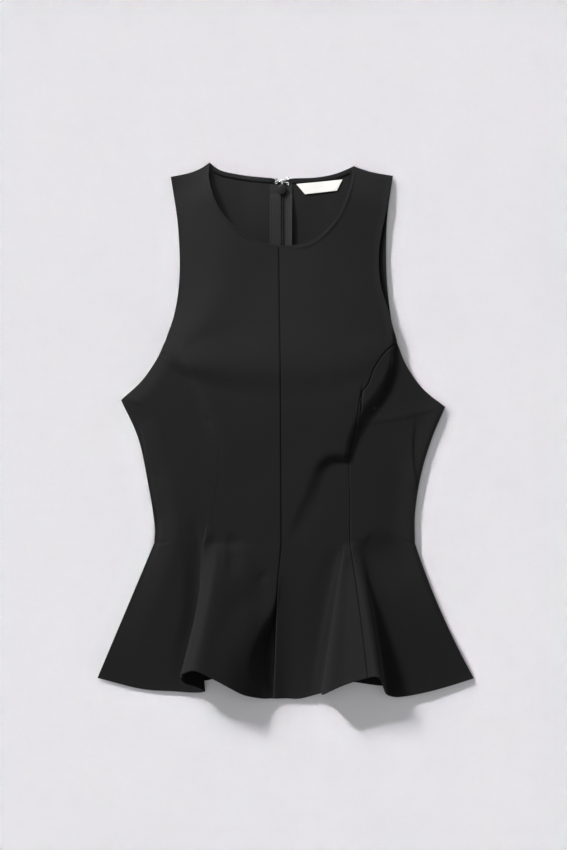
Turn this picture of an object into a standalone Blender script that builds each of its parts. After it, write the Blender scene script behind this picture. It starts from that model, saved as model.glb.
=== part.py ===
"""A sleeveless peplum top with a back zip, lying flat with its front up.

Units are metres. +Z is up and +Y points from the hem to the neck. Left and right are as seen from above,
so the left of the drawing is the wearer's right. Tables of the outline are in millimetres.
"""

import math

import bmesh
import bpy
import numpy as np
from mathutils import Matrix

MM = 0.001

# Driving sizes, in millimetres
WALL = 1.0
SEAM_GAP = 0.34
FRONT_REST = WALL + SEAM_GAP + WALL / 2
WAIST_Y = -125.0
CLOTH_ROUGHNESS = 0.85

# Rows and columns of the cloth grids
ARMHOLE_ROWS = 9
NECK_ROWS = 7
PRINCESS_ROWS = 18
PEPLUM_ROWS = 10
SIDE_SEAM_STEPS = 24
BACK_ROWS = {"armhole": 12, "side": 7, "peplum": 4}
BACK_COLUMNS = {"shoulder": 3, "neck": 12}
NECK_STEPS = 40
CENTRE_FOLDS = {
    "left": [6.0, 6.1, 6.5, 7.0, 7.5, 8.0, 8.5, 9.0, 9.5, 10.0, 10.6, 11.2, 11.8, 12.3, 12.7, 12.95,
             13.2, 13.5, 13.85, 14.0],
    "right": [8.0, 8.15, 8.6, 9.2, 9.8, 10.0, 10.3, 10.7, 11.0, 11.6, 12.3, 13.0, 13.6, 14.0],
}
SIDE_FOLDS = {
    "left": [0.0, 0.4, 0.8, 1.3, 1.8, 2.3, 2.8, 3.3, 3.7, 4.0, 4.3, 4.7, 5.0, 5.5, 5.9, 6.0],
    "right": [0.0, 0.5, 1.0, 1.6, 2.2, 2.8, 3.3, 3.7, 4.0, 4.5, 5.0, 5.5, 6.0, 6.5, 7.0, 7.5, 7.85, 8.0],
}

# Seam and edge lines of the front as it lies, seen from above: x, y in millimetres
CENTRE_FRONT = [(-7.4, 207.6), (-5.6, 60.0), (-4.6, WAIST_Y)]
FRONT = {
    "left": {
        "shoulder": [(-129.0, 286.0), (-109.0, 290.0), (-96.0, 295.0), (-85.0, 302.0)],
        "armhole": [(-129.0, 286.0), (-121.0, 232.0), (-119.0, 178.0), (-124.0, 136.0), (-135.0, 101.0)],
        "underarm": [(-184.6, 35.4), (-162.0, 56.0), (-145.0, 80.0), (-135.0, 101.0)],
        "side": [(-184.6, 35.4), (-165.0, -9.6), (-153.5, -64.0), (-147.0, -105.0), (-147.4, WAIST_Y)],
        "princess": [(-135.0, 101.0), (-120.0, 71.0), (-96.0, 35.0), (-79.0, 8.0), (-75.0, -20.0),
                     (-78.0, -65.0), (-87.3, WAIST_Y)],
        "neck": [(-85.0, 302.0), (-85.5, 281.0), (-75.0, 251.0), (-52.0, 224.0), (-26.0, 211.5),
                 CENTRE_FRONT[0]],
    },
    "right": {
        "shoulder": [(120.6, 287.0), (100.0, 290.5), (88.0, 293.7), (76.0, 298.0)],
        "armhole": [(120.6, 287.0), (113.5, 250.0), (105.0, 205.0), (106.0, 168.0), (115.0, 136.0),
                    (125.0, 99.0)],
        "underarm": [(179.0, 27.6), (154.0, 48.0), (136.0, 73.0), (125.0, 99.0)],
        "side": [(179.0, 27.6), (164.0, -8.0), (152.0, -48.0), (145.3, -90.0), (145.0, WAIST_Y)],
        "princess": [(125.0, 99.0), (112.0, 89.0), (99.0, 70.0), (93.0, 54.0), (84.0, 40.0),
                     (80.0, 15.0), (71.5, -35.0), (72.5, -75.0), (72.5, WAIST_Y)],
        "neck": [(76.0, 298.0), (73.5, 280.0), (65.0, 256.0), (47.0, 228.0), (20.0, 211.0),
                 CENTRE_FRONT[0]],
    },
}

# Fold lines of the peplum, each a straight run of cloth from the waist to the hem, in millimetres:
# its name, x at the waist, then x, y and height at the hem, and how far it bows to the right between them
FOLDS = {
    "left": [
        ("side seam", -147.4, -211.4, -276.8, 0.0, 0.0),
        ("side panel", -127.8, -162.7, -289.0, 0.8, 0.0),
        ("side panel edge", -112.0, -126.7, -291.7, 1.5, 0.0),
        ("foot of the roll", -103.0, -101.9, -293.1, 3.0, -2.0),
        ("roll turns back", -97.0, -90.7, -290.8, 8.5, -1.5),
        ("inside of the roll", -92.0, -102.1, -284.8, 16.0, -0.5),
        ("princess seam", -87.3, -113.4, -280.0, 24.0, 0.5),
        ("rim of the roll", -83.0, -117.0, -272.6, 33.0, 1.5),
        ("upper rim", -79.0, -111.7, -267.0, 42.0, 2.5),
        ("top of the roll", -75.0, -100.2, -264.0, 47.0, 2.0),
        ("past the top", -69.5, -82.6, -272.2, 44.0, 1.0),
        ("upper slope", -61.4, -64.1, -282.8, 37.0, 0.0),
        ("lower slope", -45.7, -46.5, -293.1, 25.0, 0.0),
        ("valley", -26.6, -27.9, -298.6, 10.0, 0.0),
        ("centre front", -4.6, -13.1, -299.6, 5.5, -1.6),
    ],
    "right": [
        ("side seam", 145.0, 211.4, -277.1, 0.0, -4.5),
        ("side panel", 127.6, 185.0, -285.4, 2.6, -3.5),
        ("side panel middle", 110.7, 155.7, -293.0, 4.4, -2.0),
        ("floor", 94.5, 127.6, -297.8, 5.0, 0.0),
        ("foot of the drop", 87.0, 114.5, -294.8, 11.0, 1.0),
        ("drop", 82.5, 109.8, -286.0, 26.0, 2.0),
        ("edge", 79.0, 106.8, -276.8, 38.0, 2.0),
        ("crest", 76.0, 101.6, -271.2, 42.0, 1.0),
        ("princess seam", 72.5, 91.3, -272.3, 39.0, 1.0),
        ("plateau", 70.5, 66.0, -280.7, 35.0, 0.0),
        ("ridge", 66.5, 42.0, -291.6, 32.0, 0.0),
        ("foot of the ridge", 63.0, 40.0, -293.0, 9.0, 0.0),
        ("low stretch", 36.0, 17.0, -299.6, 3.0, 0.0),
        ("beside the centre", 7.2, 0.5, -299.6, 2.0, 0.0),
        ("centre front", -4.6, -13.1, -299.6, 5.5, -1.6),
    ],
}
FOLD_RISE = 0.95

# How high the front stands over the back down its middle: y and height
LOFT = [(310.0, 12.5), (250.0, 12.5), (170.0, 10.5), (90.0, 9.5), (20.0, 8.5), (-60.0, 7.0), (-125.0, 6.0),
        (-220.0, 5.0), (-310.0, 3.0)]

# The edges it rounds off towards: x, y, the width of the rounding, and the share of the height left there
LOFT_EDGES = {
    "left": [(-129.0, 286.0, 66.0, 0.0), (-121.0, 232.0, 66.0, 0.0), (-119.0, 178.0, 60.0, 0.0),
             (-124.0, 136.0, 44.0, 0.0), (-135.0, 101.0, 24.0, 0.5), (-160.0, 58.0, 18.0, 0.5),
             (-184.6, 35.4, 24.0, 0.2), (-165.0, -9.6, 30.0, 0.0), (-153.5, -64.0, 28.0, 0.0),
             (-147.4, -125.0, 26.0, 0.0), (-211.4, -276.8, 34.0, 0.0)],
    "right": [(120.6, 287.0, 90.0, 0.3), (113.5, 250.0, 90.0, 0.38), (105.0, 205.0, 90.0, 0.44),
              (106.0, 168.0, 90.0, 0.5), (115.0, 136.0, 88.0, 0.5), (125.0, 99.0, 86.0, 0.45),
              (154.0, 48.0, 92.0, 0.25), (179.0, 27.6, 100.0, 0.1), (164.0, -8.0, 100.0, 0.1),
              (152.0, -48.0, 100.0, 0.1), (145.0, -125.0, 90.0, 0.1), (211.4, -277.1, 60.0, 0.1)],
}
SHOULDER_ROUNDING = 40.0
SIDE_ROUNDING = {"left": 9.0, "right": 5.0}
SIDE_ROUNDING_RUN = 20.0

# Soft swells: name, centre x and y, reach along x and y, and height
SWELLS = [
    ("left side panel", -125.0, -150.0, 44.0, 120.0, 2.5),
    ("right side panel", 200.0, -215.0, 92.0, 140.0, 3.4),
]

# The bust cups fall away at lines of x, y and the width of the fall. The side that stays up is on the left
CUPS = {
    "left": {
        "centre": (-58.0, 60.0), "reach": (105.0, 130.0), "height": 5.0,
        "falls": [[(-122.0, 103.0, 14.0), (-111.0, 72.0, 13.0), (-98.0, 46.0, 14.0), (-90.0, 28.0, 17.0),
                   (-82.0, 8.0, 26.0), (-76.0, -30.0, 44.0), (-74.0, -90.0, 54.0)]],
    },
    "right": {
        "centre": (54.0, 45.0), "reach": (128.0, 190.0), "height": 8.5,
        "falls": [
            [(-30.0, -165.0, 50.0), (4.0, -128.0, 44.0), (18.0, -104.0, 34.0), (25.0, -86.0, 26.0),
             (30.5, -68.0, 20.0), (33.5, -54.6, 17.0), (38.0, -42.0, 15.0), (46.0, -33.0, 14.0),
             (57.0, -30.0, 13.0), (70.0, -31.0, 13.0), (100.0, -32.0, 12.0)],
            [(70.0, -70.0, 10.0), (70.5, -35.0, 12.0), (73.0, -18.0, 15.0), (77.0, -6.0, 17.0),
             (84.0, 9.0, 20.0), (91.0, 20.8, 21.0), (103.0, 36.0, 19.0), (112.0, 52.0, 15.0),
             (117.5, 69.0, 10.0), (120.0, 84.0, 6.0), (121.5, 110.0, 4.0)],
        ],
    },
}

# The two largest creases: x, y, reach to the left and right of its direction, and height or depth
CREASES = {
    "fold over the centre front": [(-26.0, -299.0, 34.0, 8.0, 0.8), (-32.5, -290.0, 36.0, 10.0, 1.8),
                                   (-39.0, -276.0, 38.0, 12.0, 3.4), (-41.5, -262.0, 40.0, 13.0, 4.6),
                                   (-39.5, -246.0, 42.0, 14.0, 5.8), (-34.0, -230.0, 42.0, 14.0, 6.0),
                                   (-26.0, -214.0, 40.0, 12.0, 4.8), (-18.0, -200.0, 34.0, 10.0, 3.0),
                                   (-11.0, -182.0, 28.0, 6.0, 1.4), (-7.0, -158.0, 18.0, 3.0, 0.0)],
    "valley at the centre front": [(-18.0, -299.0, 7.0, 5.0, -1.5), (-20.0, -284.0, 11.0, 7.0, -3.5),
                                   (-20.5, -264.0, 12.0, 8.0, -5.0), (-19.0, -246.0, 12.0, 7.5, -5.5),
                                   (-16.5, -230.0, 9.0, 6.0, -4.5), (-12.5, -215.0, 5.0, 4.0, -2.5),
                                   (-9.5, -202.0, 3.0, 3.0, -0.8), (-6.0, -186.0, 1.5, 1.5, 0.0)],
}

# How far the cloth's edge is held off the floor by its seam allowances: y and lift in millimetres
EDGE_LIFT = {
    "left": [(-277.0, 0.2), (-200.0, 0.2), (WAIST_Y, 1.0), (-80.0, 1.2), (0.0, 0.6), (60.0, 0.0)],
    "right": [(-277.0, 2.0), (-200.0, 2.4), (WAIST_Y, 3.4), (-80.0, 3.6), (-20.0, 3.6), (27.6, 3.0), (60.0, 2.0)],
}
EDGE_LIFT_REACH = {"left": 24.0, "right": 34.0}
SHOULDER_LIFT = 1.6
SHOULDER_LIFT_REACH = 26.0

# How the back's right armhole edge curls up between the y of its start and end
ARMHOLE_CURL = {"height": 4.0, "reach": 14.0, "start_y": 100.0, "full_y": 150.0, "fade_y": 240.0,
                "end_y": 280.0}

# Edges of the back that the front doesn't share: x, y in millimetres
BACK_CENTRE_X = -4.0
NECK_NOTCH_Y = 279.5
BACK = {
    "left": {
        "neck": [(-85.0, 302.0), (-74.0, 293.8), (-56.0, 289.3), (-36.0, 286.3), (-15.0, 284.4),
                 (-11.0, 283.8), (-7.5, 282.0), (BACK_CENTRE_X, NECK_NOTCH_Y)],
        "armhole": [(-129.0, 286.0), (-117.5, 232.0), (-115.0, 178.0), (-120.0, 136.0), (-131.0, 101.0),
                    (-142.0, 79.0), (-160.0, 55.0), (-184.6, 35.4)],
        "hem": [(-211.4, -276.8), (-160.0, -284.0), (-95.0, -280.5), (-78.0, -278.0), (-40.0, -278.5),
                (BACK_CENTRE_X, -279.0)],
    },
    "right": {
        "neck": [(76.0, 298.0), (64.5, 292.6), (51.0, 288.2), (31.5, 285.0), (7.0, 284.1),
                 (3.0, 283.4), (-0.5, 281.8), (BACK_CENTRE_X, NECK_NOTCH_Y)],
        "armhole": [(120.6, 287.0), (114.4, 243.6), (112.8, 205.0), (114.0, 165.0), (119.0, 124.0),
                    (125.5, 99.0), (136.5, 73.0), (154.0, 48.5), (179.0, 27.6)],
        "hem": [(211.4, -277.1), (160.0, -284.5), (110.0, -286.0), (74.0, -281.5), (30.0, -279.0),
                (BACK_CENTRE_X, -279.0)],
    },
}

# Zip, pull and neck fastening, in millimetres. The slider stands over the slit between the two tapes.
ZIP_END_Y = -150.0
TAPE_TOP_Y = 277.0
TAPE_ROWS = 30
TAPE_WIDTH = {"left": 13.6, "right": 11.6}
TAPE_WALL = 1.0
TAPE_LIFT = {"left": 0.0, "right": 4.0}
TAPE_FLAT = 0.22
TAPE_LIFT_RUN = 40.0
TAPE_LIFT_END_Y = 90.0
TAPE_LIFT_FADE = 60.0
COIL = {"width": 2.3, "height": 1.1, "stop": 2.0}
SLIDER = {"y": 271.4, "width": 9.6, "length": 12.0, "height": 3.2, "shoulder": 1.2, "split": 0.75,
          "neck": 1.0, "neck_half_length": 1.2, "neck_sink": 1.0}
PULL = {"pivot_y": 271.4, "pivot_z": 1.15, "length": 22.0, "width": 5.0, "wall": 0.9,
        "head": 0.75, "corner": 0.6, "eye": 0.95, "pin": 0.28}
HUMP = {"height": 2.3, "full_x": 14.0, "end_x": 50.0, "full_y": 260.0, "end_y": 200.0}
BINDING = {"width": 4.6, "wall": 1.0, "inset": 0.1, "start": 4, "steps": 12}
WIRE = 0.8
HOOK = {"y": 281.2, "reach": 6.4, "loop": 1.3, "spread": 1.1, "nose": 1.6, "bill": 1.2,
        "bow": 3.4, "catch": 0.2}

# Which way is outward from the centre, and whether a patch's normals face up, on each side
OUTWARD = {"left": -1.0, "right": 1.0}
UPWARD = {"left": 1.0, "right": -1.0}

# Woven label, a strip with mitred ends: x, y of its corners from the upper left round, in millimetres
LABEL_CORNERS = [(11.9, 277.8), (64.0, 283.2), (57.6, 270.6), (21.8, 266.4)]
LABEL_WALL = 1.0

BLACK_CLOTH = (0.018, 0.018, 0.019)
BLACK_TAPE = (0.030, 0.030, 0.031)
BLACK_ENAMEL = (0.012, 0.012, 0.013)
NICKEL = (0.75, 0.75, 0.76)
CREAM_SATIN = (0.80, 0.79, 0.77)


def clear_scene():
    for obj in list(bpy.data.objects):
        bpy.data.objects.remove(obj, do_unlink=True)


def collection_named(name):
    made = bpy.data.collections.new(name)
    bpy.context.scene.collection.children.link(made)
    return made


def material_named(name, colour, roughness, metallic=0.0):
    made = bpy.data.materials.new(name)
    made.use_nodes = True
    shader = made.node_tree.nodes["Principled BSDF"]
    shader.inputs["Base Color"].default_value = (*colour, 1.0)
    shader.inputs["Roughness"].default_value = roughness
    shader.inputs["Metallic"].default_value = metallic
    return made


def smooth(share):
    """0 to 1 with a soft start and end."""
    share = np.clip(share, 0.0, 1.0)
    return share * share * (3.0 - 2.0 * share)


def through(points, where):
    """A smooth line through the rows of points, read at where, counted in rows."""
    rows = np.array(points, float)
    rows = np.vstack([2 * rows[0] - rows[1], rows, 2 * rows[-1] - rows[-2]])
    where = np.clip(np.asarray(where, float), 0, len(points) - 1)
    first = np.minimum(where.astype(int), len(points) - 2)
    t = (where - first)[:, None]
    a, b, c, d = (rows[first + k] for k in range(4))
    return 0.5 * (2 * b + (c - a) * t + (2 * a - 5 * b + 4 * c - d) * t**2 + (3 * b - a - 3 * c + d) * t**3)


def run(points, steps):
    """steps + 1 points at equal distances along the smooth line through points."""
    fine = through(points, np.linspace(0, len(points) - 1, 40 * (len(points) - 1) + 1))
    along = np.concatenate([[0], np.cumsum(np.linalg.norm(np.diff(fine, axis=0), axis=1))])
    at = np.linspace(0, along[-1], steps + 1)
    return np.stack([np.interp(at, along, fine[:, k]) for k in range(fine.shape[1])], axis=1)


def chain(*runs):
    """Runs that meet end to end, as one row of points."""
    return np.vstack([runs[0], *(r[1:] for r in runs[1:])])


def patch(top, bottom, left, right):
    """A grid of points that fills four edges: rows run from left to right, and the first row is top."""
    u = np.linspace(0, 1, len(top))[None, :, None]
    v = np.linspace(0, 1, len(left))[:, None, None]
    sides = (1 - u) * left[:, None] + u * right[:, None]
    ends = (1 - v) * top[None] + v * bottom[None]
    corners = (1 - v) * ((1 - u) * top[0] + u * top[-1]) + v * ((1 - u) * bottom[0] + u * bottom[-1])
    return sides + ends - corners


def away_from(x, y, line):
    """Distance of each point from a line, positive on the left of its direction."""
    path = run(line, 8 * (len(line) - 1))
    best = np.full(x.shape, 1e9)
    signed = np.zeros(x.shape)
    for a, b in zip(path[:-1], path[1:]):
        d = b - a
        share = np.clip(((x - a[0]) * d[0] + (y - a[1]) * d[1]) / (d @ d), 0, 1)
        dx, dy = x - a[0] - share * d[0], y - a[1] - share * d[1]
        far = np.hypot(dx, dy)
        side = np.where(d[0] * (y - a[1]) - d[1] * (x - a[0]) >= 0, 1.0, -1.0)
        nearer = far < best
        best = np.where(nearer, far, best)
        signed = np.where(nearer, side * far, signed)
    return signed


def side_line(side):
    """The side seam from the underarm to the corner of the hem, with y rising, as y and x."""
    waist_x, hem_x, hem_y, _, bow = FOLDS[side][0][1:]
    w = np.linspace(0, 1, 12)
    x = waist_x + (hem_x - waist_x) * w + bow * 4 * w * (1 - w)
    y = WAIST_Y + (hem_y - WAIST_Y) * w
    upper = run(FRONT[side]["side"], SIDE_SEAM_STEPS)
    line = np.vstack([upper, np.stack([x, y], axis=1)[1:]])[::-1]
    return line[:, 1], line[:, 0]


def edge_lift(x, y):
    """How far the cloth rises off the floor towards its side and shoulder seams, in millimetres."""
    rise = np.zeros(x.shape)
    for side in FRONT:
        heights = np.array(EDGE_LIFT[side])
        lift = np.interp(y, heights[:, 0], heights[:, 1])
        edge = np.interp(y, *side_line(side))
        rise = np.maximum(rise, lift * smooth(1 - np.abs(x - edge) / EDGE_LIFT_REACH[side]) ** 2)
        off = np.abs(away_from(x, y, FRONT[side]["shoulder"]))
        rise = np.maximum(rise, SHOULDER_LIFT * smooth(1 - off / SHOULDER_LIFT_REACH) ** 2)
    return rise


def pull_hump(x, y):
    """The back stands clear of the floor over the zip's pull, in millimetres."""
    across = smooth((HUMP["end_x"] - np.abs(x - BACK_CENTRE_X)) / (HUMP["end_x"] - HUMP["full_x"]))
    along = smooth((y - HUMP["end_y"]) / (HUMP["full_y"] - HUMP["end_y"]))
    return HUMP["height"] * across * along


def armhole_curl(x, y):
    """The back's right armhole edge stands up a little, in millimetres."""
    off = np.abs(away_from(x, y, BACK["right"]["armhole"]))
    curl = ARMHOLE_CURL["height"] * smooth(1 - off / ARMHOLE_CURL["reach"])
    curl = curl * smooth((y - ARMHOLE_CURL["start_y"]) / (ARMHOLE_CURL["full_y"] - ARMHOLE_CURL["start_y"]))
    return curl * smooth((ARMHOLE_CURL["end_y"] - y) / (ARMHOLE_CURL["end_y"] - ARMHOLE_CURL["fade_y"]))


def back_under(x, y):
    """Height of the back's outer face over the floor, in millimetres."""
    return edge_lift(x, y) + pull_hump(x, y) + armhole_curl(x, y)


def swell(x, y, centre_x, centre_y, reach_x, reach_y, height):
    r = ((x - centre_x) / reach_x) ** 2 + ((y - centre_y) / reach_y) ** 2
    return height * np.clip(1 - r, 0, 1) ** 2


def beside(x, y, rows):
    """How far each point is to the left of a line, and the line's other columns at the nearest place."""
    path = run(rows, 12 * (len(rows) - 1))
    best = np.full(x.shape, 1e9)
    signed = np.zeros(x.shape)
    others = np.zeros((*x.shape, path.shape[1] - 2))
    for a, b in zip(path[:-1], path[1:]):
        d = (b - a)[:2]
        share = np.clip(((x - a[0]) * d[0] + (y - a[1]) * d[1]) / (d @ d), 0, 1)
        dx, dy = x - a[0] - share * d[0], y - a[1] - share * d[1]
        far = np.hypot(dx, dy)
        nearer = far < best
        turn = np.where(d[0] * (y - a[1]) - d[1] * (x - a[0]) >= 0, 1.0, -1.0)
        signed = np.where(nearer, turn * far, signed)
        here = a[2:] + share[..., None] * (b - a)[2:]
        others = np.where(nearer[..., None], here, others)
        best = np.minimum(far, best)
    return signed, others


def crease(x, y, rows):
    off, others = beside(x, y, rows)
    reach = np.where(off > 0, others[..., 0], others[..., 1])
    return others[..., 2] * smooth(1 - np.abs(off) / reach)


def cup(x, y, form):
    """A bust cup, which falls away past the lines of its panel and its folds."""
    raised = swell(x, y, *form["centre"], *form["reach"], form["height"])
    for line in form["falls"]:
        off, others = beside(x, y, line)
        raised = raised * smooth(0.5 + off / others[..., 0])
    return raised


def rounded(off, reach):
    """0 at an edge to 1 at the end of its reach, steepest at the edge."""
    return np.sin(np.clip(off / reach, 0, 1) * math.pi / 2)


def front_rise(x, y):
    """How far the front stands above where it would lie flat on the back."""
    heights = run(LOFT, 80)[::-1]
    rise = np.interp(y, heights[:, 0], heights[:, 1])
    for rows in LOFT_EDGES.values():
        off, others = beside(x, y, rows)
        share = others[..., 1]
        rise = rise * (share + (1 - share) * rounded(np.abs(off), others[..., 0]))
    for lines in FRONT.values():
        off = np.abs(away_from(x, y, lines["shoulder"]))
        rise = rise * rounded(off, SHOULDER_ROUNDING)
    rise = rise + sum(swell(x, y, *row[1:]) for row in SWELLS)
    rise = rise + sum(cup(x, y, form) for form in CUPS.values())
    for side, lines in FRONT.items():
        seam = np.abs(x - np.interp(y, *side_line(side)))
        below = smooth((lines["side"][0][1] - y) / SIDE_ROUNDING_RUN)
        rise = rise * (1 - below + below * rounded(seam, SIDE_ROUNDING[side]))
    return rise


def peplum(side, folds, steps):
    """Points of the front below the waist, a row for each step towards the hem, and their extra height."""
    table = [row[1:] for row in FOLDS[side]]
    waist_x, hem_x, hem_y, hem_z, bow = through(table, folds).T
    w = np.linspace(0, 1, steps + 1)[:, None]
    x = waist_x + (hem_x - waist_x) * w + bow * 4 * w * (1 - w)
    y = WAIST_Y + (hem_y - WAIST_Y) * w
    return np.stack([x, y], axis=2), np.maximum(hem_z, 0) * w**FOLD_RISE, w


def raise_front(bodice, lower, lift, w):
    """Joins the bodice and the peplum, and gives every point its height."""
    plan = np.vstack([bodice, lower[1:]])
    x, y = plan[..., 0], plan[..., 1]
    fold = np.zeros(x.shape)
    fold[len(bodice) - 1:] = lift
    fade = np.ones(x.shape)
    fade[len(bodice) - 1:] = 1 - w
    floor = FRONT_REST + edge_lift(x, y)
    rise = front_rise(x, y) * fade + fold + sum(crease(x, y, rows) for rows in CREASES.values())
    return np.dstack([x, y, floor + np.maximum(rise, 0)]) * MM


def pull_in(edge, inner):
    """Moves a panel's edge towards its next column by half a seam gap, square to the edge."""
    along = np.gradient(edge, axis=0)
    along /= np.linalg.norm(along, axis=1, keepdims=True)
    step = inner - edge
    step -= along * np.sum(step * along, axis=1, keepdims=True)
    edge += step / np.linalg.norm(step, axis=1, keepdims=True) * SEAM_GAP / 2 * MM


def grid_object(name, grid, home, material, wall, offset):
    """A cloth wall on a grid of points in metres. An offset of 0 puts the grid in the wall's middle."""
    rows, columns = grid.shape[:2]
    mesh = bpy.data.meshes.new(name)
    bm = bmesh.new()
    bmesh.ops.create_grid(bm, x_segments=columns - 1, y_segments=rows - 1, size=0.5)
    for vert in bm.verts:
        column = round((vert.co.x + 0.5) * (columns - 1))
        row = round((0.5 - vert.co.y) * (rows - 1))
        vert.co = grid[row, column]
    bm.to_mesh(mesh)
    bm.free()
    mesh.shade_smooth()
    obj = bpy.data.objects.new(name, mesh)
    obj.data.materials.append(material)
    home.objects.link(obj)
    solid = obj.modifiers.new("wall", "SOLIDIFY")
    solid.thickness = wall * MM
    solid.offset = offset
    return obj


def waist(side, folds):
    x = through([row[1:2] for row in FOLDS[side]], folds)[:, 0]
    return np.stack([x, np.full(x.shape, WAIST_Y)], axis=1)


def front_centre_panel(side, home, material):
    lines, folds = FRONT[side], CENTRE_FOLDS[side]
    outer = chain(run(lines["armhole"], ARMHOLE_ROWS), run(lines["princess"], PRINCESS_ROWS))
    inner = chain(run(lines["neck"], NECK_ROWS), run(CENTRE_FRONT, len(outer) - 1 - NECK_ROWS))
    top = run(lines["shoulder"], len(folds) - 1)
    bodice = patch(top, waist(side, folds), outer, inner)
    grid = raise_front(bodice, *peplum(side, folds, PEPLUM_ROWS))
    pull_in(grid[ARMHOLE_ROWS:, 0], grid[ARMHOLE_ROWS:, 1])
    pull_in(grid[NECK_ROWS:, -1], grid[NECK_ROWS:, -2])
    return grid_object(f"front_centre_{side}", grid, home, material, WALL, 0.0)


def front_side_panel(side, home, material):
    lines, folds = FRONT[side], SIDE_FOLDS[side]
    outer = run(lines["side"], PRINCESS_ROWS)
    inner = run(lines["princess"], PRINCESS_ROWS)
    top = run(lines["underarm"], len(folds) - 1)
    bodice = patch(top, waist(side, folds), outer, inner)
    grid = raise_front(bodice, *peplum(side, folds, PEPLUM_ROWS))
    pull_in(grid[:, -1], grid[:, -2])
    return grid_object(f"front_side_{side}", grid, home, material, WALL, 0.0)


def centre_back_split(y):
    """Half the gap between the two backs, in millimetres: a seam's gap, but parted round the slider."""
    below_slider = (y - SLIDER["y"] + SLIDER["length"]) / SLIDER["width"]
    return SEAM_GAP / 2 + SLIDER["split"] * smooth(below_slider)


def back_panel(side, home, material):
    """Half of the back. Its outer face lies on the floor."""
    lines = BACK[side]
    side_y, side_x = side_line(side)
    seam = np.stack([side_x, side_y], axis=1)[::-1]
    outer = chain(
        run(lines["armhole"], BACK_ROWS["armhole"]),
        run(seam[: SIDE_SEAM_STEPS + 1], BACK_ROWS["side"]),
        run(seam[SIDE_SEAM_STEPS:], BACK_ROWS["peplum"]),
    )
    inner = run([lines["neck"][-1], lines["hem"][-1]], len(outer) - 1)
    shoulder = run(FRONT[side]["shoulder"], BACK_COLUMNS["shoulder"])
    top = chain(shoulder, run(lines["neck"], BACK_COLUMNS["neck"]))
    bottom = run(lines["hem"], len(top) - 1)
    plan = patch(top, bottom, outer, inner)
    plan[:, -1, 0] += OUTWARD[side] * centre_back_split(plan[:, -1, 1])
    x, y = plan[..., 0], plan[..., 1]
    grid = np.dstack([x, y, back_under(x, y)]) * MM
    return grid_object(f"back_{side}", grid, home, material, WALL, UPWARD[side])


def on_back(plan, clear):
    """Puts a plan grid over the back's inner face, clear millimetres above it."""
    x, y = plan[..., 0], plan[..., 1]
    return np.dstack([x, y, back_under(x, y) + WALL + clear]) * MM


def zip_tape(side, home, material):
    """A woven tape sewn inside the centre back. The right tape's outer edge stands off the back."""
    y = np.linspace(TAPE_TOP_Y, ZIP_END_Y, TAPE_ROWS + 1)
    across = np.array([1.0, 0.6, TAPE_FLAT, 0.0])
    inner = centre_back_split(y)[:, None]
    x = BACK_CENTRE_X + OUTWARD[side] * (inner + (TAPE_WIDTH[side] - inner) * across)
    plan = np.dstack([x, np.repeat(y[:, None], len(across), axis=1)])
    outer = np.clip((across - TAPE_FLAT) / (1 - TAPE_FLAT), 0, 1)
    stand = TAPE_LIFT[side] * outer**2 * smooth((TAPE_TOP_Y - y) / TAPE_LIFT_RUN)[:, None]
    stand = stand * smooth((y - TAPE_LIFT_END_Y) / TAPE_LIFT_FADE)[:, None]
    grid = on_back(plan, SEAM_GAP)
    grid[..., 2] += stand * MM
    return grid_object(f"zip_tape_{side}", grid, home, material, TAPE_WALL, UPWARD[side])


def zip_coil(side, home, material):
    """One coil of the zip, which lies along its tape's inner edge from the slider down."""
    y = np.linspace(SLIDER["y"] - SLIDER["length"] / 2 - SEAM_GAP, ZIP_END_Y + COIL["stop"], TAPE_ROWS + 1)
    inner = centre_back_split(y)[:, None]
    across = np.array([1.0, 0.0])
    x = BACK_CENTRE_X + OUTWARD[side] * (inner + COIL["width"] * across)
    plan = np.dstack([x, np.repeat(y[:, None], len(across), axis=1)])
    grid = on_back(plan, SEAM_GAP + TAPE_WALL + SEAM_GAP)
    return grid_object(f"zip_coil_{side}", grid, home, material, COIL["height"], UPWARD[side])


def neck_binding(side, home, material):
    """The narrow binding inside the back neck, from near the shoulder to the zip."""
    edge = run(BACK[side]["neck"][:-3], NECK_STEPS)[BINDING["start"]:]
    edge = run(edge, BINDING["steps"])
    along = np.gradient(edge, axis=0)
    down = np.stack([along[:, 1], -along[:, 0]], axis=1) * -OUTWARD[side]
    down /= np.linalg.norm(down, axis=1, keepdims=True)
    across = np.array([0.0, 0.5, 1.0]) * BINDING["width"]
    plan = (edge[:, None] + down[:, None] * (across[:, None] + BINDING["inset"])).transpose(1, 0, 2)
    grid = on_back(plan, SEAM_GAP)
    return grid_object(f"neck_binding_{side}", grid, home, material, BINDING["wall"], UPWARD[side])


def label_strip(home, material):
    """A folded woven strip with mitred ends, its upper edge caught at the neck binding."""
    upper_left, upper_right, lower_right, lower_left = (np.array(c) for c in LABEL_CORNERS)
    u = np.linspace(0, 1, 9)[None, :, None]
    v = np.linspace(0, 1, 3)[:, None, None]
    plan = (1 - v) * ((1 - u) * upper_left + u * upper_right) + v * ((1 - u) * lower_left + u * lower_right)
    return grid_object("label", on_back(plan, SEAM_GAP), home, material, LABEL_WALL, 1.0)


def box_mesh(bm, low, high):
    """Adds a box between two corners, in millimetres."""
    made = bmesh.ops.create_cube(bm, size=1.0)["verts"]
    low, high = np.array(low), np.array(high)
    for vert in made:
        vert.co = ((low + high) / 2 + np.array(vert.co) * (high - low)) * MM
    return made


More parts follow.
